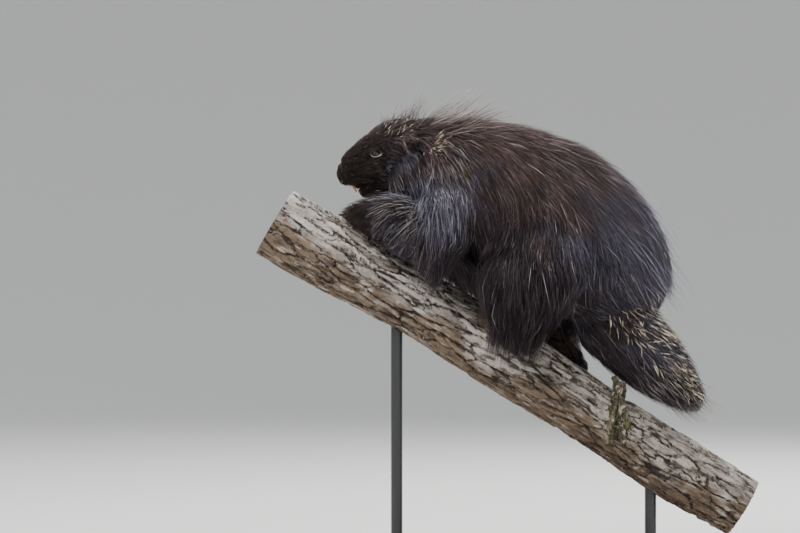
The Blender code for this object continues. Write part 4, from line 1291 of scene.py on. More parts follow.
# %% The coat of neck, back and belly
LEVEL = [(0, 0), (1, 0)]
BODY_LONG = [(0.0, 0.044), (0.15, 0.058), (0.5, 0.064), (0.85, 0.058), (1.0, 0.046)]
BODY_TIP = [(0.0, 0.006), (0.12, 0.004), (0.25, -0.001), (0.6, -0.0015)]
BODY_TIP += [(0.86, -0.003), (0.93, -0.008), (1.0, -0.016)]
BODY_DROOP = [(0.0, 34), (0.22, 48), (0.5, 32), (0.75, 18), (1.0, 6)]
for name, places, degrees, count in (
    ("coat_neck", (0.0, 0.24), (-90, 270), 11500),
    ("coat_shoulder_left", (0.24, 0.50), (-90, 90), 11300),
    ("coat_shoulder_right", (0.24, 0.50), (90, 270), 11300),
    ("coat_flank_left", (0.50, 0.76), (-90, 90), 11300),
    ("coat_flank_right", (0.50, 0.76), (90, 270), 11300),
    ("coat_rump", (0.76, 1.0), (-90, 270), 13800),
):
    grow(
        name, BODY, count, places, degrees, BODY_LONG, BODY_TIP, BODY_DROOP, 0.00054, short=True,
        drape=0.010, pale=pale_share, even=even_back, bare=lambda spots: near_ears(spots, 0.0120),
        converge=0.8,
    )
# Long flank hair lies over the top of the thigh, so that no edge shows there.
for where, degrees in (("left", (-36, 26)), ("right", (154, 216))):
    grow(
        f"coat_hip_{where}", BODY, 2300, (0.40, 0.80), degrees, [(0, 0.086), (1, 0.070)],
        [(0, 0.002), (1, 0.001)], [(0.4, 64), (0.8, 42)], 0.00056, drape=0.0155, rough=0.004,
        pale=lambda spots: pale_share(spots) * 0.6,
    )
# Long hair hangs from the breast and the belly, down to the branch.
grow(
    "coat_belly", BODY, 3400, (0.02, 0.60), (-128, -52), [(0, 0.044), (0.3, 0.056), (1, 0.050)],
    [(0, 0.006), (0.2, 0.022), (0.4, 0.031), (0.6, 0.010)], LEVEL, 0.00054, rise=1.1, rough=0.005,
    short=True,
)
print("triangles of the body's coat:", sum(COAT_TRIANGLES.values()))

# %% The coat of the legs
FORE_COAT = {
    "upper": 4800,
    "from": 0.12,
    "long": [(0, 0.056), (0.7, 0.0504), (1, 0.05152)],
    "droop": [(0, -34), (1, -20)],
    "lower": 5200,
    "lower_droop": [(0, 84), (0.45, 70), (0.8, 38), (1, 8)],
}
HIND_COAT = {
    "upper": 6600,
    "from": 0.20,
    "long": [(0, 0.062), (0.7, 0.0558), (1, 0.04092)],
    "droop": [(0, -14), (1, -6)],
    "lower": 3800,
    "lower_droop": [(0, 10), (1, 6)],
}
hanging = {"rough": 0.005, "stray": 9.0, "short": True}
for name, leg in LEGS.items():
    hind = name.startswith("hind")
    coat = HIND_COAT if hind else FORE_COAT
    upper, lower = leg["forms"]["upper"], leg["forms"]["lower"]
    grow(
        f"coat_{name}_upper", upper, coat["upper"], (coat["from"], 1.0), (-90, 270), coat["long"],
        [(0, 0.0015), (1, 0.003)], coat["droop"], 0.00054, rough=0.0034, stray=5.0, drape=0.008,
        pale=pale_share, short=True,
    )
    if hind:
        for where, degrees in (("back", (20, 160)), ("front", (200, 340))):
            grow(
                f"coat_{name}_fringe_{where}", upper, 800, (0.45, 1.0), degrees,
                [(0, 0.062), (1, 0.058)], [(0, 0.006), (1, 0.012)], LEVEL, 0.00054, **hanging,
            )
    else:
        # The elbow's hair hangs down to the branch.
        grow(
            f"coat_{name}_elbow", upper, 900, (0.55, 1.0), (-90, 110), [(0, 0.060), (1, 0.066)],
            [(0, 0.004), (1, 0.008)], [(0, -10), (1, -30)], 0.00054, **hanging,
        )
    grow(
        f"coat_{name}_lower", lower, coat["lower"], (0.0, 1.0), (-90, 270),
        [(0, 0.048), (0.5, 0.040), (1, 0.013)], [(0, 0.002), (1, 0.0004)], coat["lower_droop"],
        0.00052, rough=0.0028, short=True, pale=pale_share,
    )
    grow(
        f"coat_{name}_paw", leg["paw"], 2200, (0.0, 1.0), (-30, 210), [(0, 0.010), (1, 0.006)],
        [(0, 0.0016), (1, 0.0010)], LEVEL, 0.00045, short=True, rough=0.0008,
    )

# %% The coat of the tail
TAIL_LONG = [(0.0, 0.050), (0.5, 0.044), (1.0, 0.036)]
TAIL_TIP = [(0.0, 0.001), (1.0, 0.003)]
grow(
    "coat_tail", TAIL, 12600, (0.0, 1.0), (-90, 270), TAIL_LONG, TAIL_TIP, [(0, 8), (1, 0)], 0.00058,
    rough=0.0032, stray=8.0, pale=pale_share, converge=0.92, under=-0.0065, short=True,
)

# %% The coat of the head
LIPS_BELOW = 0.0172
EYE_BARE = (0.0078, 0.0056)
NOSTRIL_BARE = 0.0032
FACE_NEAR_EARS = 0.0125


def bare_face(spots):
    """Nostrils, lips and the rims of the eyes have no tufts."""
    from_nose = spots - NOSE_TIP
    back = from_nose @ HEAD_BACK
    above = from_nose @ HEAD_UP
    bare = (np.abs(above + LIPS_BELOW) < 0.0016) & (back < 0.032)
    bare |= (back < 0.0125) & (above < -0.0190)
    for side in (-1, 1):
        from_eye = spots - at_side(side, EYE_PLACE)
        oval = np.hypot(from_eye @ HEAD_BACK / EYE_BARE[0], from_eye @ HEAD_UP / EYE_BARE[1])
        bare |= (oval < 1) & (from_eye[:, 1] * side > -0.004)
        from_nostril = spots - at_side(side, NOSTRIL_PLACE)
        bare |= np.linalg.norm(from_nostril, axis=1) < NOSTRIL_BARE
    return bare | near_ears(spots, FACE_NEAR_EARS)


FACE_LONG = [(0.0, 0.0024), (0.12, 0.0040), (0.3, 0.008), (0.55, 0.016)]
FACE_TIP = [(0.0, 0.0005), (0.15, 0.0012), (0.35, 0.0028), (0.55, 0.0045)]
grow(
    "coat_face", HEAD, 13000, (0.0, 0.55), (-90, 270), FACE_LONG, FACE_TIP,
    [(0, 0), (0.3, 12), (0.45, 30), (0.6, 44)], 0.00036, short=True, bare=bare_face, rough=0.0009,
    pale=pale_share,
)
grow(
    "coat_throat", HEAD, 1300, (0.28, 1.0), (-128, -52), [(0.3, 0.014), (0.6, 0.024), (1.0, 0.026)],
    [(0.3, 0.002), (0.55, 0.008), (1.0, 0.014)], LEVEL, 0.00046, rise=1.2, rough=0.003,
    bare=bare_face,
)
grow(
    "coat_jaw", JAW, 2200, (0.0, 1.0), (-205, 25), [(0, 0.004), (0.3, 0.011), (1.0, 0.026)],
    [(0, 0.0010), (0.4, 0.0040), (1.0, 0.0140)], LEVEL, 0.00040, short=True, rough=0.0018,
    bare=bare_face,
)
CHEEK_LONG = [(0.5, 0.015), (0.7, 0.024), (1.0, 0.032)]
CHEEK_TIP = [(0.5, 0.003), (0.75, 0.006), (1.0, 0.009)]
for where, degrees in (("left", (-90, 38)), ("right", (142, 270))):
    grow(
        f"coat_cheek_{where}", HEAD, 2400, (0.52, 1.0), degrees, CHEEK_LONG, CHEEK_TIP,
        [(0.5, 38), (0.7, 55), (1.0, 66)], 0.00052, bare=bare_face, rough=0.0022, pale=pale_share,
    )
grow(
    "coat_crown", HEAD, 3400, (0.50, 1.0), (34, 146), [(0.5, 0.016), (0.75, 0.026), (1.0, 0.030)],
    [(0.5, 0.0030), (0.7, 0.0035), (1.0, 0.003)], [(0.5, 24), (1.0, 30)], 0.00046, short=True,
    bare=bare_face, rough=0.0026, stray=9.0, rise=1.6,
)
for side, where in ((-1, "left"), (1, "right")):
    grow(
        f"coat_ear_{where}", ear_form(side), 900, (0.05, 0.96), (-25, 205), [(0, 0.011), (1, 0.006)],
        [(0, 0.0022), (1, 0.0010)], LEVEL, 0.00038, short=True, rough=0.0008,
    )
print("coat triangles so far:", sum(COAT_TRIANGLES.values()))

# %% [markdown]
# ## Quills and long hairs
#
# Quills show where the coat is thin: a cluster behind the ear and a broad band on top of the tail.
# They are shorter and stiffer than the guard hairs, pale, with dark points. Long pale hairs stand
# up from the nape and the rump, past the outline of the coat.

# %% Quills on the tail, behind the ears and on the rump
quill = {"material": QUILL_SHAFT, "flatness": 0.9, "pale": everywhere(0.0)}
grow(
    "quills_tail", TAIL, 1050, (0.02, 1.0), (4, 176), [(0, 0.030), (1, 0.026)],
    [(0, 0.0050), (1, 0.0040)], [(0, 6), (1, 0)], 0.00088, rise=1.1, stray=22.0, rough=0.0035,
    converge=0.85, **quill,
)
for where, degrees in (("left", (20, 42)), ("right", (138, 160))):
    grow(
        f"quills_nape_{where}", BODY, 38, (0.112, 0.152), degrees, [(0, 0.012), (1, 0.014)],
        [(0, 0.0085), (1, 0.0085)], [(0, 20), (1, 20)], 0.00068, rise=1.0, stray=50.0, rough=0.002,
        **quill,
    )
grow(
    "quills_crown", HEAD, 42, (0.62, 0.94), (24, 156), [(0.5, 0.012), (1, 0.016)],
    [(0.5, 0.008), (1, 0.012)], LEVEL, 0.00056, rise=1.0, stray=14.0, rough=0.002, **quill,
)
grow(
    "quills_rump", BODY, 60, (0.86, 1.0), (-10, 190), [(0, 0.030), (1, 0.028)],
    [(0, 0.000), (1, -0.002)], [(0, 16), (1, 4)], 0.00060, rise=1.1, stray=12.0, rough=0.003, **quill,
)
print("quill pieces:", [name for name in COAT_TRIANGLES if name.startswith("quills")])

# %% Long hairs on the nape, the back, the rump and the tail
few_pale, half_pale, all_pale = (
    {"rise": 1.0, "flatness": 0.8, "pale": everywhere(share)} for share in (0.16, 0.45, 1.0)
)
grow(
    "long_hairs_nape", BODY, 400, (0.0, 0.20), (42, 138), [(0, 0.034), (0.1, 0.044), (0.2, 0.058)],
    [(0, 0.046), (0.08, 0.040), (0.20, 0.010)], [(0, 12), (1, 20)], 0.00036, rough=0.008, stray=9.0,
    **half_pale,
)
grow(
    "long_hairs_crown", HEAD, 130, (0.60, 1.0), (52, 128), [(0.6, 0.020), (1, 0.032)],
    [(0.6, 0.012), (0.8, 0.026), (1, 0.042)], LEVEL, 0.00032, rough=0.005, stray=9.0, **half_pale,
)
grow(
    "long_hairs_back", BODY, 1500, (0.22, 1.0), (-30, 210), [(0, 0.078), (1, 0.070)],
    [(0, 0.006), (0.7, 0.004), (1, 0.004)], [(0, 48), (0.5, 32), (1, 8)], 0.00036, rough=0.003,
    **few_pale,
)
grow(
    "long_hairs_rump", BODY, 120, (0.72, 1.0), (0, 180), [(0, 0.078), (1, 0.072)],
    [(0, 0.014), (1, 0.020)], [(0, 14), (1, 4)], 0.00036, rough=0.005, past=0.030, **all_pale,
)
grow(
    "bristles_tail", TAIL, 520, (0.50, 1.0), (0, 360), [(0, 0.046), (1, 0.050)],
    [(0, 0.003), (1, 0.008)], LEVEL, 0.00036, rough=0.005, stray=12.0, past=0.027, under=-0.004,
    **all_pale,
)
print("coat triangles:", sum(COAT_TRIANGLES.values()))

# %% [markdown]
# ## Eyes, teeth and claws
#
# These are hard and smooth, so they stay pieces of their own. The eye is a glossy dark ball deep
# in its lids. The front teeth are orange, because their enamel holds iron.

# %% Materials of eyes, teeth and claws
EYE_DARK = (0.006, 0.004, 0.003)
EYE_LIGHT = (0.020, 0.012, 0.008)
ENAMEL_DARK = (0.42, 0.14, 0.02)
ENAMEL_LIGHT = (0.72, 0.34, 0.09)
HORN_DARK = (0.022, 0.017, 0.014)
HORN_LIGHT = (0.085, 0.064, 0.048)


def eye_material():
    material, tree, shader = new_material("eye_wet", 0.06)
    cloudy = noise_texture(tree, object_position(tree), 1400.0, 2.0)
    tree.links.new(blend_colours(tree, cloudy, EYE_DARK, EYE_LIGHT), shader.inputs["Base Color"])
    shader.inputs["Coat Weight"].default_value = 1.0
    shader.inputs["Coat Roughness"].default_value = 0.03
    return material


def streaked_material(name, dark, light, roughness, scale, stretch):
    """Tooth and claw: streaks that run along the piece, with a fine bump."""
    material, tree, shader = new_material(name, roughness)
    inputs = {"Vector": object_position(tree), "Scale": stretch}
    stretched = add_node(tree, "ShaderNodeMapping", inputs)
    streaks = noise_texture(tree, stretched.outputs[0], scale, 5.0)
    colour = blend_colours(tree, smooth_range(tree, streaks, 0.3, 0.7), dark, light)
    tree.links.new(colour, shader.inputs["Base Color"])
    add_bump(tree, shader, streaks, 0.35, 0.0003)
    return material


EYE_WET = eye_material()
ENAMEL = streaked_material("tooth_enamel", ENAMEL_DARK, ENAMEL_LIGHT, 0.28, 500.0, (1, 1, 0.3))
HORN = streaked_material("claw_horn_streaked", HORN_DARK, HORN_LIGHT, 0.32, 420.0, (0.4, 1, 1))
print("hard materials:", EYE_WET.name, ENAMEL.name, HORN.name)

# %% Eyes
for side, where in ((-1, "left"), (1, "right")):
    eye = ball(f"eyeball_{where}", at_side(side, EYE_PLACE), EYE_RADIUS, segments=48)
    eye.data.materials.append(EYE_WET)
    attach(eye, "root")
    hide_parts(f"eye_{where}")
print("eye width, mm:", EYE_RADIUS * 2000)

# %% Front teeth, two above and two below
# Rows of a tooth: back from the nose, above the axis, half depth and half width.
UPPER_TOOTH = [
    (0.0135, -0.0150, 0.0022, 0.0021),
    (0.0121, -0.0250, 0.0019, 0.0021),
    (0.0131, -0.0325, 0.0007, 0.0020),
]
LOWER_TOOTH = [
    (0.0200, -0.0400, 0.0018, 0.0019),
    (0.0172, -0.0355, 0.0016, 0.0019),
    (0.0156, -0.0308, 0.0006, 0.0017),
]
TOOTH_ASIDE = 0.0022
TOOTH_ROUNDNESS = 2.6


def tooth_form(rows, side):
    rings = []
    for back, above, deep, wide in rows:
        centre = on_head(back, side * TOOTH_ASIDE, above)
        rings.append([*centre, deep, wide, *HEAD_BACK, TOOTH_ROUNDNESS])
    return Form("tooth", rings, (0, 0.2))


tooth_pieces = []
for rows in (UPPER_TOOTH, LOWER_TOOTH):
    for side in (-1, 1):
        tooth_pieces.append(new_piece("tooth", form_mesh(tooth_form(rows, side), 14, 20)))
teeth = new_piece("front_teeth", gathered(tooth_pieces), ENAMEL)
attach(teeth, "root")
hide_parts("incisors")
print("teeth faces:", len(teeth.data.polygons))

# %% Claws, one piece to a foot
# Rows of a claw: the share of its length, then lift over the bark and half height.
CLAW_ROWS = (
    (0.00, 0.0048, 0.0028),
    (0.30, 0.0056, 0.0025),
    (0.60, 0.0049, 0.0019),
    (0.85, 0.0032, 0.0011),
    (1.00, 0.0014, 0.0004),
)
CLAW_IN_TOE = 0.003
CLAW_FLATNESS = 0.80


def claw_form(start, way, length, claw_length):
    root = start + way * (length - CLAW_IN_TOE)
    rings = []
    for share, lift, half in CLAW_ROWS:
        place = root + way * claw_length * share
        rings.append(resting_ring(place, lift, half, half * CLAW_FLATNESS))
    return Form("claw", rings, (0.4, 0.6))


for name, leg in LEGS.items():
    claw_pieces = []
    for start, way, length in toe_lines(leg["foot"], leg["size"]):
        form = claw_form(start, way, length, leg["size"]["claw"])
        claw_pieces.append(new_piece("claw", form_mesh(form, 18, 14)))
    claws = new_piece(f"claws_{name}", gathered(claw_pieces), HORN)
    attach(claws, "root")
    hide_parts(*[f"{name}_claw_{number + 1}" for number in range(leg["foot"]["digits"])])
print("claw pieces:", len(LEGS))

# %% Whiskers
WHISKERS_ASIDE = 13
WHISKERS_IN_ROW = 5
WHISKER_LENGTHS = (0.030, 0.052)
WHISKER_WIDTHS = (0.00022, 0.00018, 0.00011)
WHISKER_BACK = 0.010
WHISKER_SAG = 0.006


def whisker_line(side, number):
    """A whisker's root and the way it points: it stands in rows on the side of the snout."""
    row, place = divmod(number, WHISKERS_IN_ROW)
    root = on_head(0.010 + place * 0.0030, side * (0.0150 + place * 0.0012), -0.004 - row * 0.0035)
    return root, unit(HEAD_BACK * 0.55 + ACROSS * side * 0.75 + HEAD_UP * (0.10 - row * 0.28))


roots = []
tips = []
for side in (-1, 1):
    for number in range(WHISKERS_ASIDE):
        root, way = whisker_line(side, number)
        roots.append(root)
        tips.append(root + way * DRAWS.uniform(*WHISKER_LENGTHS))
roots = np.array(roots)
tips = np.array(tips)
count = len(roots)
curve = []
for share in LONG_SHARES:
    bend = HEAD_BACK * WHISKER_BACK * share**2 - UP * WHISKER_SAG * share**2
    curve.append(roots + (tips - roots) * share + bend)
tuft_piece(
    "whiskers",
    np.stack(curve, axis=1),
    np.tile(UP, (count, 1)),
    np.tile(WHISKER_WIDTHS, (count, 1)),
    1.0,
    np.stack([np.linspace(0.1, 0.9, count), np.full(count, 0.5)], axis=1),
    {"tint": np.full(count, 0.2), "pale": np.full(count, 0.0)},
    GUARD_FUR,
)
print("whiskers:", count)

# %% [markdown]
# ## The branch
#
# Old bark breaks into long plates with dark cracks between them. The plates are real relief here,
# from a pattern of cells stretched along the branch, and the same crack value, kept with each
# vertex, darkens the colour in the cracks: the cracks' own dark colour with painted shade.

# %% Bark relief
BARK_ROWS = 372
BARK_SIDES = 232
PLATE_LONG = 0.052
PLATE_WIDE = 0.0125
CRACK_DEPTH = 0.0052
CRACK_WIDTH = 0.09
LONG_CRACK_WIDER = 0.20
CRACK_VARIES = 0.16
CRACK_LEAST = 0.03
# What bends the cracks: how often along and across the branch, and how far in cells.
BROAD_BENDS = ((22, 60, 60), 0.42)
FINE_BENDS = ((170, 260, 260), 0.10)
PLATE_STEPS = 3.0
PLATE_RAISED = 0.0024
STEP_RAISED = 0.0017
FIBRE_RAISED = 0.0006
PLATE_HIGHEST = 0.0009
WAVE_DEPTH = 0.0016


def branch_local(points):
    """Points in the branch's own axes: up the slope, across and off it."""
    moved = points - BRANCH_MIDDLE
    return np.stack([moved @ UP_SLOPE, moved @ ACROSS, moved @ OFF_SLOPE], axis=1)


def smooth_noise(points, scale, octaves=4):
    return np.array([noise.fractal(Vector(point) * scale, 1.0, 2.0, octaves) for point in points])


def bark_cracks(local):
    """For each point 0 in a crack to 1 on a plate, and a number of the plate's own.

    The plates are cells stretched along the branch. Wide cracks part the rows of plates, and
    narrow ones cross them.
    """
    edges = []
    tones = []
    for spot in local:
        cell_spot = Vector(spot / (PLATE_LONG, PLATE_WIDE, PLATE_WIDE))
        for scales, bend in (BROAD_BENDS, FINE_BENDS):
            cell_spot += noise.noise_vector(Vector(spot * scales)) * bend
        near, cells = noise.voronoi(cell_spot)
        between = cells[1] - cells[0]
        crossing = abs(between.x) / max(between.length, 1e-6)
        width = CRACK_WIDTH + LONG_CRACK_WIDER * (1 - crossing)
        width += CRACK_VARIES * noise.noise(Vector(spot) * 32)
        edges.append((near[1] - near[0]) / max(width, CRACK_LEAST))
        tones.append(noise.noise(cells[0] * 3.7) * 0.5 + 0.5)
    return np.clip(edges, 0, 1), np.array(tones)


def bark_relief(plain):
    """Height of the bark over the branch's plain round, and the crack and plate values."""
    local = branch_local(plain)
    crack, tone = bark_cracks(local)
    stretched = local * np.array([0.30, 1, 1])
    fibres = smooth_noise(stretched, 330.0, 3)
    flakes = smooth_noise(stretched, 110.0, 3)
    steps = np.round(flakes * PLATE_STEPS) / PLATE_STEPS
    plate = (tone - 0.5) * PLATE_RAISED + steps * STEP_RAISED + fibres * FIBRE_RAISED
    waves = np.minimum(smooth_noise(plain, 26.0, 2), 0) * WAVE_DEPTH
    relief = (crack**0.7 - 1) * CRACK_DEPTH + np.minimum(plate, PLATE_HIGHEST) + waves
    return relief, crack, tone


def bark_place(shares_along, shares_round):
    along = -BRANCH_LOWER + (BRANCH_LOWER + BRANCH_UPPER) * shares_along
    angle = shares_round * 2 * math.pi
    plain = branch_centre(along) + off_branch(angle) * branch_radius(along)[:, None]
    relief, _, _ = bark_relief(plain)
    return branch_centre(along) + off_branch(angle) * (branch_radius(along) + relief)[:, None]


branch = new_piece("bark_branch", rolled_grid(BARK_ROWS, BARK_SIDES, bark_place))
corners = corner_points(branch)
local = branch_local(corners)
_, crack, tone = bark_relief(corners)
# The bark is darker towards the low end. The underside is browner, and darker with painted shade.
tone *= 1 - 0.45 * np.clip(-local[:, 0] / 0.22, 0, 1)
keep_values(branch.data, "crack", crack)
keep_values(branch.data, "plate", tone)
keep_values(branch.data, "under", np.clip(0.5 - local[:, 2] / 0.06, 0, 1))
print("branch faces:", len(branch.data.polygons))

# %% Bark and cut wood materials
PLATE_DARK = (0.155, 0.128, 0.105)
PLATE_LIGHT = (0.60, 0.54, 0.485)
UNDER_BROWN_AND_SHADE_DARK = (0.105, 0.066, 0.040)
UNDER_BROWN_AND_SHADE_LIGHT = (0.23, 0.165, 0.11)
WEATHERED = (0.56, 0.52, 0.48)
FIBRE_GAP = (0.050, 0.034, 0.025)
SPECKLE = (0.11, 0.085, 0.07)
CRACK_COLOUR_AND_SHADE = (0.020, 0.013, 0.010)
LATE_WOOD = (0.30, 0.185, 0.095)
EARLY_WOOD = (0.52, 0.37, 0.22)

grain, start, end = shader_group(
    "wood_grain",
    [
        ("Position", "NodeSocketVector", None),
        ("Scale", "NodeSocketFloat", 30.0),
        ("Stretch", "NodeSocketVector", (0.1, 1.0, 1.0)),
    ],
    [("Streaks", "NodeSocketFloat"), ("Speckles", "NodeSocketFloat")],
)
position = start.outputs["Position"]
drawn = vector_maths(grain, position, start.outputs["Stretch"], "MULTIPLY")
streaks = noise_texture(grain, drawn, start.outputs["Scale"], 6.0, 0.62)
grain.links.new(streaks, end.inputs["Streaks"])
grain.links.new(noise_texture(grain, position, 420.0, 3.0), end.inputs["Speckles"])


def grain_marks(tree, position, scale, stretch):
    """The streaks and the speckles of wood that runs along the axis least stretched."""
    node = place_group(tree, grain, {"Position": position, "Scale": scale, "Stretch": stretch})
    return node.outputs["Streaks"], node.outputs["Speckles"]


def along_branch(tree):
    """Object coordinates turned so that x runs up the slope."""
    inputs = {"Vector": object_position(tree), "Rotation": (0, -BRANCH_SLOPE, 0)}
    return add_node(tree, "ShaderNodeMapping", inputs).outputs[0]


def bark_material():
    """Grey plates with pale and dark fibres, dark speckles and dark cracks, browner below.

    Painted shade darkens the underside and the cracks.
    """
    material, tree, shader = new_material("bark_plates", 0.88)
    position = along_branch(tree)
    streaks, speckles = grain_marks(tree, position, 150.0, (0.30, 1, 1))
    tone = attribute(tree, "plate")
    light = blend_colours(tree, tone, PLATE_DARK, PLATE_LIGHT)
    under_brown_and_shade = blend_colours(tree, tone, UNDER_BROWN_AND_SHADE_DARK, UNDER_BROWN_AND_SHADE_LIGHT)
    patches = smooth_range(tree, noise_texture(tree, position, 17.0, 3.0), 0.35, 0.65, -0.30, 0.30)
    # Painted shade under the branch, with its browner colour.
    lower = smooth_range(tree, maths(tree, attribute(tree, "under"), patches), 0.40, 0.85)
    plate = blend_colours(tree, lower, light, under_brown_and_shade)
    for factor, colour in (
        (smooth_range(tree, streaks, 0.54, 0.70, 0.0, 0.65), WEATHERED),
        (smooth_range(tree, streaks, 0.38, 0.50, 0.90, 0.0), FIBRE_GAP),
        (smooth_range(tree, speckles, 0.57, 0.68, 0.0, 0.55), SPECKLE),
    ):
        plate = blend_colours(tree, factor, plate, colour)
    # Painted shade in the cracks, over their own dark colour.
    crack = smooth_range(tree, attribute(tree, "crack"), 0.10, 0.75)
    tree.links.new(blend_colours(tree, crack, CRACK_COLOUR_AND_SHADE, plate), shader.inputs["Base Color"])
    add_bump(tree, shader, maths(tree, maths(tree, streaks, speckles), crack), 1.0, 0.0016)
    return material


def cut_wood_material():
    """Sawn end grain: rings round the branch's axis."""
    material, tree, shader = new_material("cut_wood", 0.75)
    axis = Matrix.Rotation(-BRANCH_SLOPE, 3, "Y") @ Vector(BRANCH_MIDDLE)
    centred = vector_maths(tree, along_branch(tree), axis, "SUBTRACT")
    inputs = {"Vector": centred, "Scale": 95.0, "Distortion": 3.0, "Detail": 3.0, "Detail Scale": 1.5}
    waves = add_node(tree, "ShaderNodeTexWave", inputs, wave_type="RINGS", rings_direction="X")
    rings = waves.outputs["Fac"]
    tree.links.new(blend_colours(tree, rings, LATE_WOOD, EARLY_WOOD), shader.inputs["Base Color"])
    add_bump(tree, shader, rings, 0.3, 0.0006)
    return material


BARK_PLATES = bark_material()
CUT_WOOD = cut_wood_material()
branch.data.materials.append(BARK_PLATES)
branch.data.materials.append(CUT_WOOD)
# Only the two cut ends have more than four corners.
for face in branch.data.polygons:
    if len(face.vertices) > 4:
        face.material_index = 1
        face.use_smooth = False
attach(branch, "root")
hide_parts("perch_branch")
print("bark materials:", BARK_PLATES.name, CUT_WOOD.name)

# %% The mossy stub
# It rises from the branch's near side on a spread root, and ends in two broken prongs.
STUB_RINGS = [
    (0.1250, -0.0385, 0.1720, 0.0050, 0.0200),
    (0.1250, -0.0400, 0.1860, 0.0085, 0.0215),
    (0.1232, -0.0395, 0.2000, 0.0105, 0.0180),
    (0.1228, -0.0375, 0.2120, 0.0105, 0.0145),
    (0.1238, -0.0335, 0.2240, 0.0095, 0.0105),
    (0.1245, -0.0310, 0.2350, 0.0085, 0.0088),
    (0.1275, -0.0300, 0.2440, 0.0072, 0.0078),
    (0.1294, -0.0295, 0.2510, 0.0060, 0.0066),
]
PRONG_RINGS = [
    (0.1240, -0.0305, 0.2300, 0.0055, 0.0055),
    (0.1222, -0.0295, 0.2450, 0.0045, 0.0046),
    (0.1214, -0.0290, 0.2590, 0.0038, 0.0042),
]
TOWARDS_LEFT = (0, -1, 0, 2)
STUB = Form("stub", [(*ring, *TOWARDS_LEFT) for ring in STUB_RINGS], (0.3, 0.3))
PRONG = Form("prong", [(*ring, *TOWARDS_LEFT) for ring in PRONG_RINGS], (0, 0.3))
GROOVE_WIDTH = 0.16
GROOVE_SHARE = 0.30
GROOVE_DEEPEST = 0.0034
ROUGHNESS = 0.0026
LUMPS = 0.0020
DRY_WOOD_DARK = (0.028, 0.020, 0.014)
DRY_WOOD_LIGHT = (0.20, 0.155, 0.105)
MOSS_DARK = (0.016, 0.019, 0.006)
MOSS_LIGHT = (0.12, 0.12, 0.04)
LICHEN = (0.36, 0.35, 0.27)
GROOVE_COLOUR_AND_SHADE = (0.012, 0.010, 0.007)


def stub_grooves(points):
    """How deep each point lies in one of the grooves that run up the stub, from 0 to 1."""
    x, y, z = np.array(STUB_RINGS)[:, :3].T
    across = points[:, 0] - np.interp(points[:, 2], z, x)
    near = points[:, 1] - np.interp(points[:, 2], z, y)
    turn = np.arctan2(near, across)
    spots = np.stack([np.cos(turn), np.sin(turn), points[:, 2] * 16], axis=1)
    return 1 - np.clip(np.abs(smooth_noise(spots, 2.3)) / GROOVE_WIDTH, 0, 1)


def rough_form(form, rows, sides):
    """A form with the broken surface of dead wood."""

    def place(along, around):
        reach = along * form.length
        plain = form.at(reach, around * 360, np.zeros(len(along)))
        rough = smooth_noise(plain * np.array([1, 1, 0.4]), 210.0) * ROUGHNESS
        lumps = smooth_noise(plain, 75.0, 2) * LUMPS
        deepest = np.minimum(form.radius(reach) * GROOVE_SHARE, GROOVE_DEEPEST)
        return form.at(reach, around * 360, rough + lumps - stub_grooves(plain) * deepest)

    return rolled_grid(rows, sides, place)


def stub_material():
    """Dry dead wood with moss, pale lichen and dark grooves, darkened with painted shade."""
    material, tree, shader = new_material("stub_moss", 0.92)
    position = object_position(tree)
    streaks, speckles = grain_marks(tree, position, 120.0, (1, 1, 0.2))
    fibres = smooth_range(tree, streaks, 0.38, 0.64)
    wood = blend_colours(tree, fibres, DRY_WOOD_DARK, DRY_WOOD_LIGHT)
    tufted = smooth_range(tree, speckles, 0.35, 0.65)
    moss = blend_colours(tree, tufted, MOSS_DARK, MOSS_LIGHT)
    patches = noise_texture(tree, position, 120.0, 6.0)
    colour = blend_colours(tree, smooth_range(tree, patches, 0.50, 0.60), wood, moss)
    lichen = smooth_range(tree, patches, 0.36, 0.42, 0.75, 0.0)
    colour = blend_colours(tree, lichen, colour, LICHEN)
    # Painted shade in the grooves, over their own dark colour.
    groove = smooth_range(tree, attribute(tree, "groove"), 0.05, 0.8)
    colour = blend_colours(tree, groove, colour, GROOVE_COLOUR_AND_SHADE)
    tree.links.new(colour, shader.inputs["Base Color"])
    add_bump(tree, shader, streaks, 1.0, 0.002)
    return material


STUB_MOSS = stub_material()
stub = new_piece("mossy_stub", rough_form(STUB, 110, 84), STUB_MOSS)
boolean(stub, [new_piece("prong", rough_form(PRONG, 50, 40))], "UNION")
stub.data.shade_smooth()
keep_values(stub.data, "groove", stub_grooves(corner_points(stub)))
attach(stub, "root")
print("stub faces:", len(stub.data.polygons))

# %% [markdown]
# ## The display stand
#
# The stand is plain: a dark waxed board and two satin black rods, with a small steel collar where
# each rod meets the board.

# %% Stand materials
BOARD_DARK = (0.040, 0.024, 0.015)
BOARD_LIGHT = (0.125, 0.078, 0.046)
BLACK_DARK = (0.018, 0.018, 0.019)
BLACK_LIGHT = (0.035, 0.035, 0.037)
STEEL_DARK = (0.38, 0.38, 0.39)
STEEL_LIGHT = (0.52, 0.52, 0.53)


def board_material():
    material, tree, shader = new_material("waxed_board", 0.42)
    streaks, speckles = grain_marks(tree, object_position(tree), 26.0, (0.08, 1.0, 1.0))
    colour = blend_colours(tree, smooth_range(tree, streaks, 0.3, 0.7), BOARD_DARK, BOARD_LIGHT)
    tree.links.new(colour, shader.inputs["Base Color"])
    shine = smooth_range(tree, speckles, 0.3, 0.7, 0.34, 0.52)
    tree.links.new(shine, shader.inputs["Roughness"])
    add_bump(tree, shader, streaks, 0.25, 0.0004)
    shader.inputs["Coat Weight"].default_value = 0.25
    return material


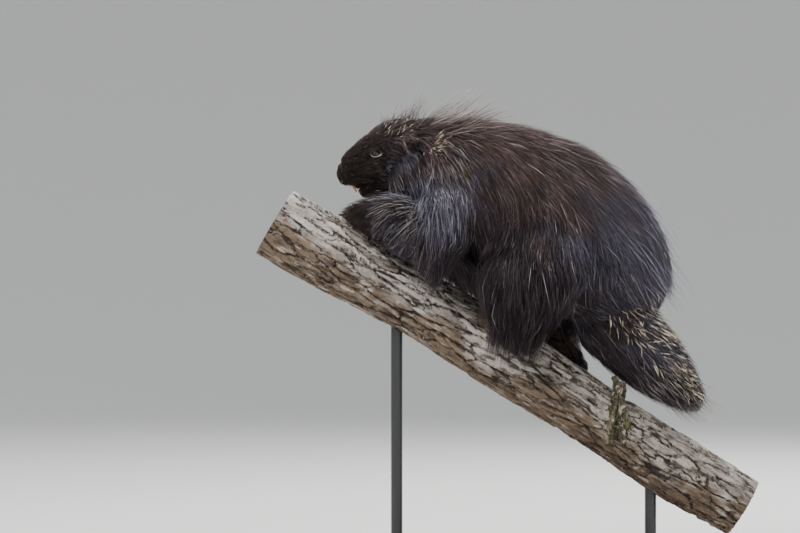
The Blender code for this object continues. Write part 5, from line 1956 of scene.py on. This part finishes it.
def metal_material(name, dark, light, roughness, metallic):
    """Metal or satin paint, drawn out along the rod and worn unevenly."""
    material, tree, shader = new_material(name, roughness, metallic)
    streaks, speckles = grain_marks(tree, object_position(tree), 240.0, (1, 1, 0.15))
    tree.links.new(blend_colours(tree, streaks, dark, light), shader.inputs["Base Color"])
    worn = smooth_range(tree, speckles, 0.35, 0.65, roughness * 0.8, roughness * 1.25)
    tree.links.new(worn, shader.inputs["Roughness"])
    return material


WAXED_BOARD = board_material()
SATIN_BLACK = metal_material("satin_black", BLACK_DARK, BLACK_LIGHT, 0.38, 0.0)
COLLAR_STEEL = metal_material("collar_steel", STEEL_DARK, STEEL_LIGHT, 0.30, 1.0)


def repaint(node, material):
    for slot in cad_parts[node].material_slots:
        slot.material = material


repaint("stand_base", WAXED_BOARD)
for rod in ("stand_rod_front", "stand_rod_rear"):
    repaint(rod, SATIN_BLACK)
print("stand materials:", WAXED_BOARD.name, SATIN_BLACK.name, COLLAR_STEEL.name)

# %% Collars where the rods meet the board
BOARD_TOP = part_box("stand_base")[1].z
COLLAR_LIFT = 0.0002
COLLAR_PROFILE = [
    (0.0078, 0.0),
    (0.0185, 0.0),
    (0.0185, 0.0030),
    (0.0170, 0.0042),
    (0.0110, 0.0050),
    (0.0105, 0.0085),
    (0.0092, 0.0095),
    (0.0078, 0.0095),
]
SPUN_MERGE = 1e-5


def turned_piece(name, profile, centre, steps, closed, material):
    """A profile of distances out and up, spun once round an upright axis."""
    bm = bmesh.new()
    verts = [bm.verts.new(centre + Vector((out, 0, up))) for out, up in profile]
    pairs = zip(verts, verts[1:] + verts[:1]) if closed else zip(verts, verts[1:])
    edges = [bm.edges.new(pair) for pair in pairs]
    bmesh.ops.spin(
        bm, geom=verts + edges, cent=centre, axis=(0, 0, 1), dvec=(0, 0, 0), angle=2 * math.pi,
        steps=steps, use_merge=True,
    )
    bmesh.ops.remove_doubles(bm, verts=bm.verts, dist=SPUN_MERGE)
    bmesh.ops.recalc_face_normals(bm, faces=bm.faces)
    return new_piece(name, bm, material)


def collar(name, rod):
    low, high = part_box(rod)
    foot = Vector(((low.x + high.x) / 2, (low.y + high.y) / 2, BOARD_TOP + COLLAR_LIFT))
    piece = turned_piece(name, COLLAR_PROFILE, foot, 64, True, COLLAR_STEEL)
    piece.data.shade_flat()
    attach(piece, "root")


collar("collar_front", "stand_rod_front")
collar("collar_rear", "stand_rod_rear")
print("board top, mm:", round(BOARD_TOP * 1000, 1))

# %% [markdown]
# ## Floor, light and camera
#
# The floor is plain and pale. The light is soft and comes from above, a little from behind, so
# that the long hairs catch it. The camera looks level at the animal's left side.

# %% Floor that rises to a backdrop all round
FLOOR_FLAT = 4.2
FLOOR_BEND = 2.6
BACKDROP_TOP = 4.2
FLOOR_BELOW = 0.0005
FLOOR_PROFILE = [(0.0, 0.0), (2.5, 0.0), (FLOOR_FLAT, 0.0)]
for turn in np.radians(range(6, 91, 6)):
    out = FLOOR_FLAT + FLOOR_BEND * math.sin(turn)
    FLOOR_PROFILE.append((out, FLOOR_BEND - FLOOR_BEND * math.cos(turn)))
FLOOR_PROFILE.append((FLOOR_FLAT + FLOOR_BEND, BACKDROP_TOP))
floor_paint, tree, shader = new_material("floor_paint", 0.9)
shader.inputs["Base Color"].default_value = (0.66, 0.66, 0.64, 1)
floor_centre = Vector((0, 0, -FLOOR_BELOW))
floor = turned_piece("floor", FLOOR_PROFILE, floor_centre, 96, False, floor_paint)
floor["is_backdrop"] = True
print("floor radius, m:", round(FLOOR_PROFILE[-1][0], 1))

# %% Lights
# Each light's name, place, size in metres and power in watts. All of them face the animal.
LIGHTS = (
    ("key", (-1.4, -2.0, 2.8), 1.6, 120),
    ("top", (0.2, 0.4, 3.2), 2.4, 110),
    ("rim", (1.2, 1.9, 1.9), 1.4, 60),
    ("fill", (2.2, -2.4, 0.8), 2.2, 14),
)
AIM = Vector((0, 0, 0.40))


def soft_light(name, place, size, power):
    lamp = bpy.data.lights.new(name, "AREA")
    lamp.size = size
    lamp.energy = power
    light = bpy.data.objects.new(name, lamp)
    light.location = place
    light.rotation_mode = "QUATERNION"
    light.rotation_quaternion = (AIM - Vector(place)).to_track_quat("-Z", "Y")
    light.visible_camera = False
    bpy.context.scene.collection.objects.link(light)


for light in LIGHTS:
    soft_light(*light)
world = bpy.data.worlds.new("studio")
world.use_nodes = True
sky = world.node_tree.nodes["Background"]
sky.inputs["Color"].default_value = (0.86, 0.90, 0.95, 1)
sky.inputs["Strength"].default_value = 0.60
bpy.context.scene.world = world
print("lights:", [light[0] for light in LIGHTS])

# %% Camera at the photo's viewing angle
# A picture of this many pixels across, at these metres a pixel, with the world's origin at ORIGIN.
PIXEL = 0.0013
PICTURE_WIDTH = 800
PICTURE_MIDDLE = (400, 266.5)
ORIGIN = (520, 575)
CAMERA_AWAY = 4.0
SENSOR = 36
aside = (PICTURE_MIDDLE[0] - ORIGIN[0]) * PIXEL
CAMERA_MIDDLE = Vector((aside, 0, (ORIGIN[1] - PICTURE_MIDDLE[1]) * PIXEL))
camera = bpy.data.objects.new("camera", bpy.data.cameras.new("camera"))
camera.data.sensor_width = SENSOR
camera.data.lens = SENSOR * CAMERA_AWAY / (PICTURE_WIDTH * PIXEL)
camera.location = CAMERA_MIDDLE - Vector((0, CAMERA_AWAY, 0))
camera.rotation_euler = (math.pi / 2, 0, 0)
bpy.context.scene.collection.objects.link(camera)
bpy.context.scene.camera = camera
print("lens, mm:", round(camera.data.lens, 1), "camera height, m:", round(camera.location.z, 3))

# %% [markdown]
# ## Sizes against the CAD box
#
# The dressed model has to stay inside the CAD box, apart from a little that fur may stand proud:
# the last lines print how far it does at both ends of each axis, and how far it may.

# %% How far the model stands past the CAD box
PROUD_SHARE = 0.03
PROUD_MORE = 0.010
LOW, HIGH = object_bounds()
for axis in range(3):
    room = PROUD_SHARE * (CAD_HIGH[axis] - CAD_LOW[axis]) + PROUD_MORE
    proud = (CAD_LOW[axis] - LOW[axis], HIGH[axis] - CAD_HIGH[axis])
    print("xyz"[axis], "proud, mm:", [round(value * 1000, 1) for value in (*proud, room)])
print("triangles of coat:", sum(COAT_TRIANGLES.values()))
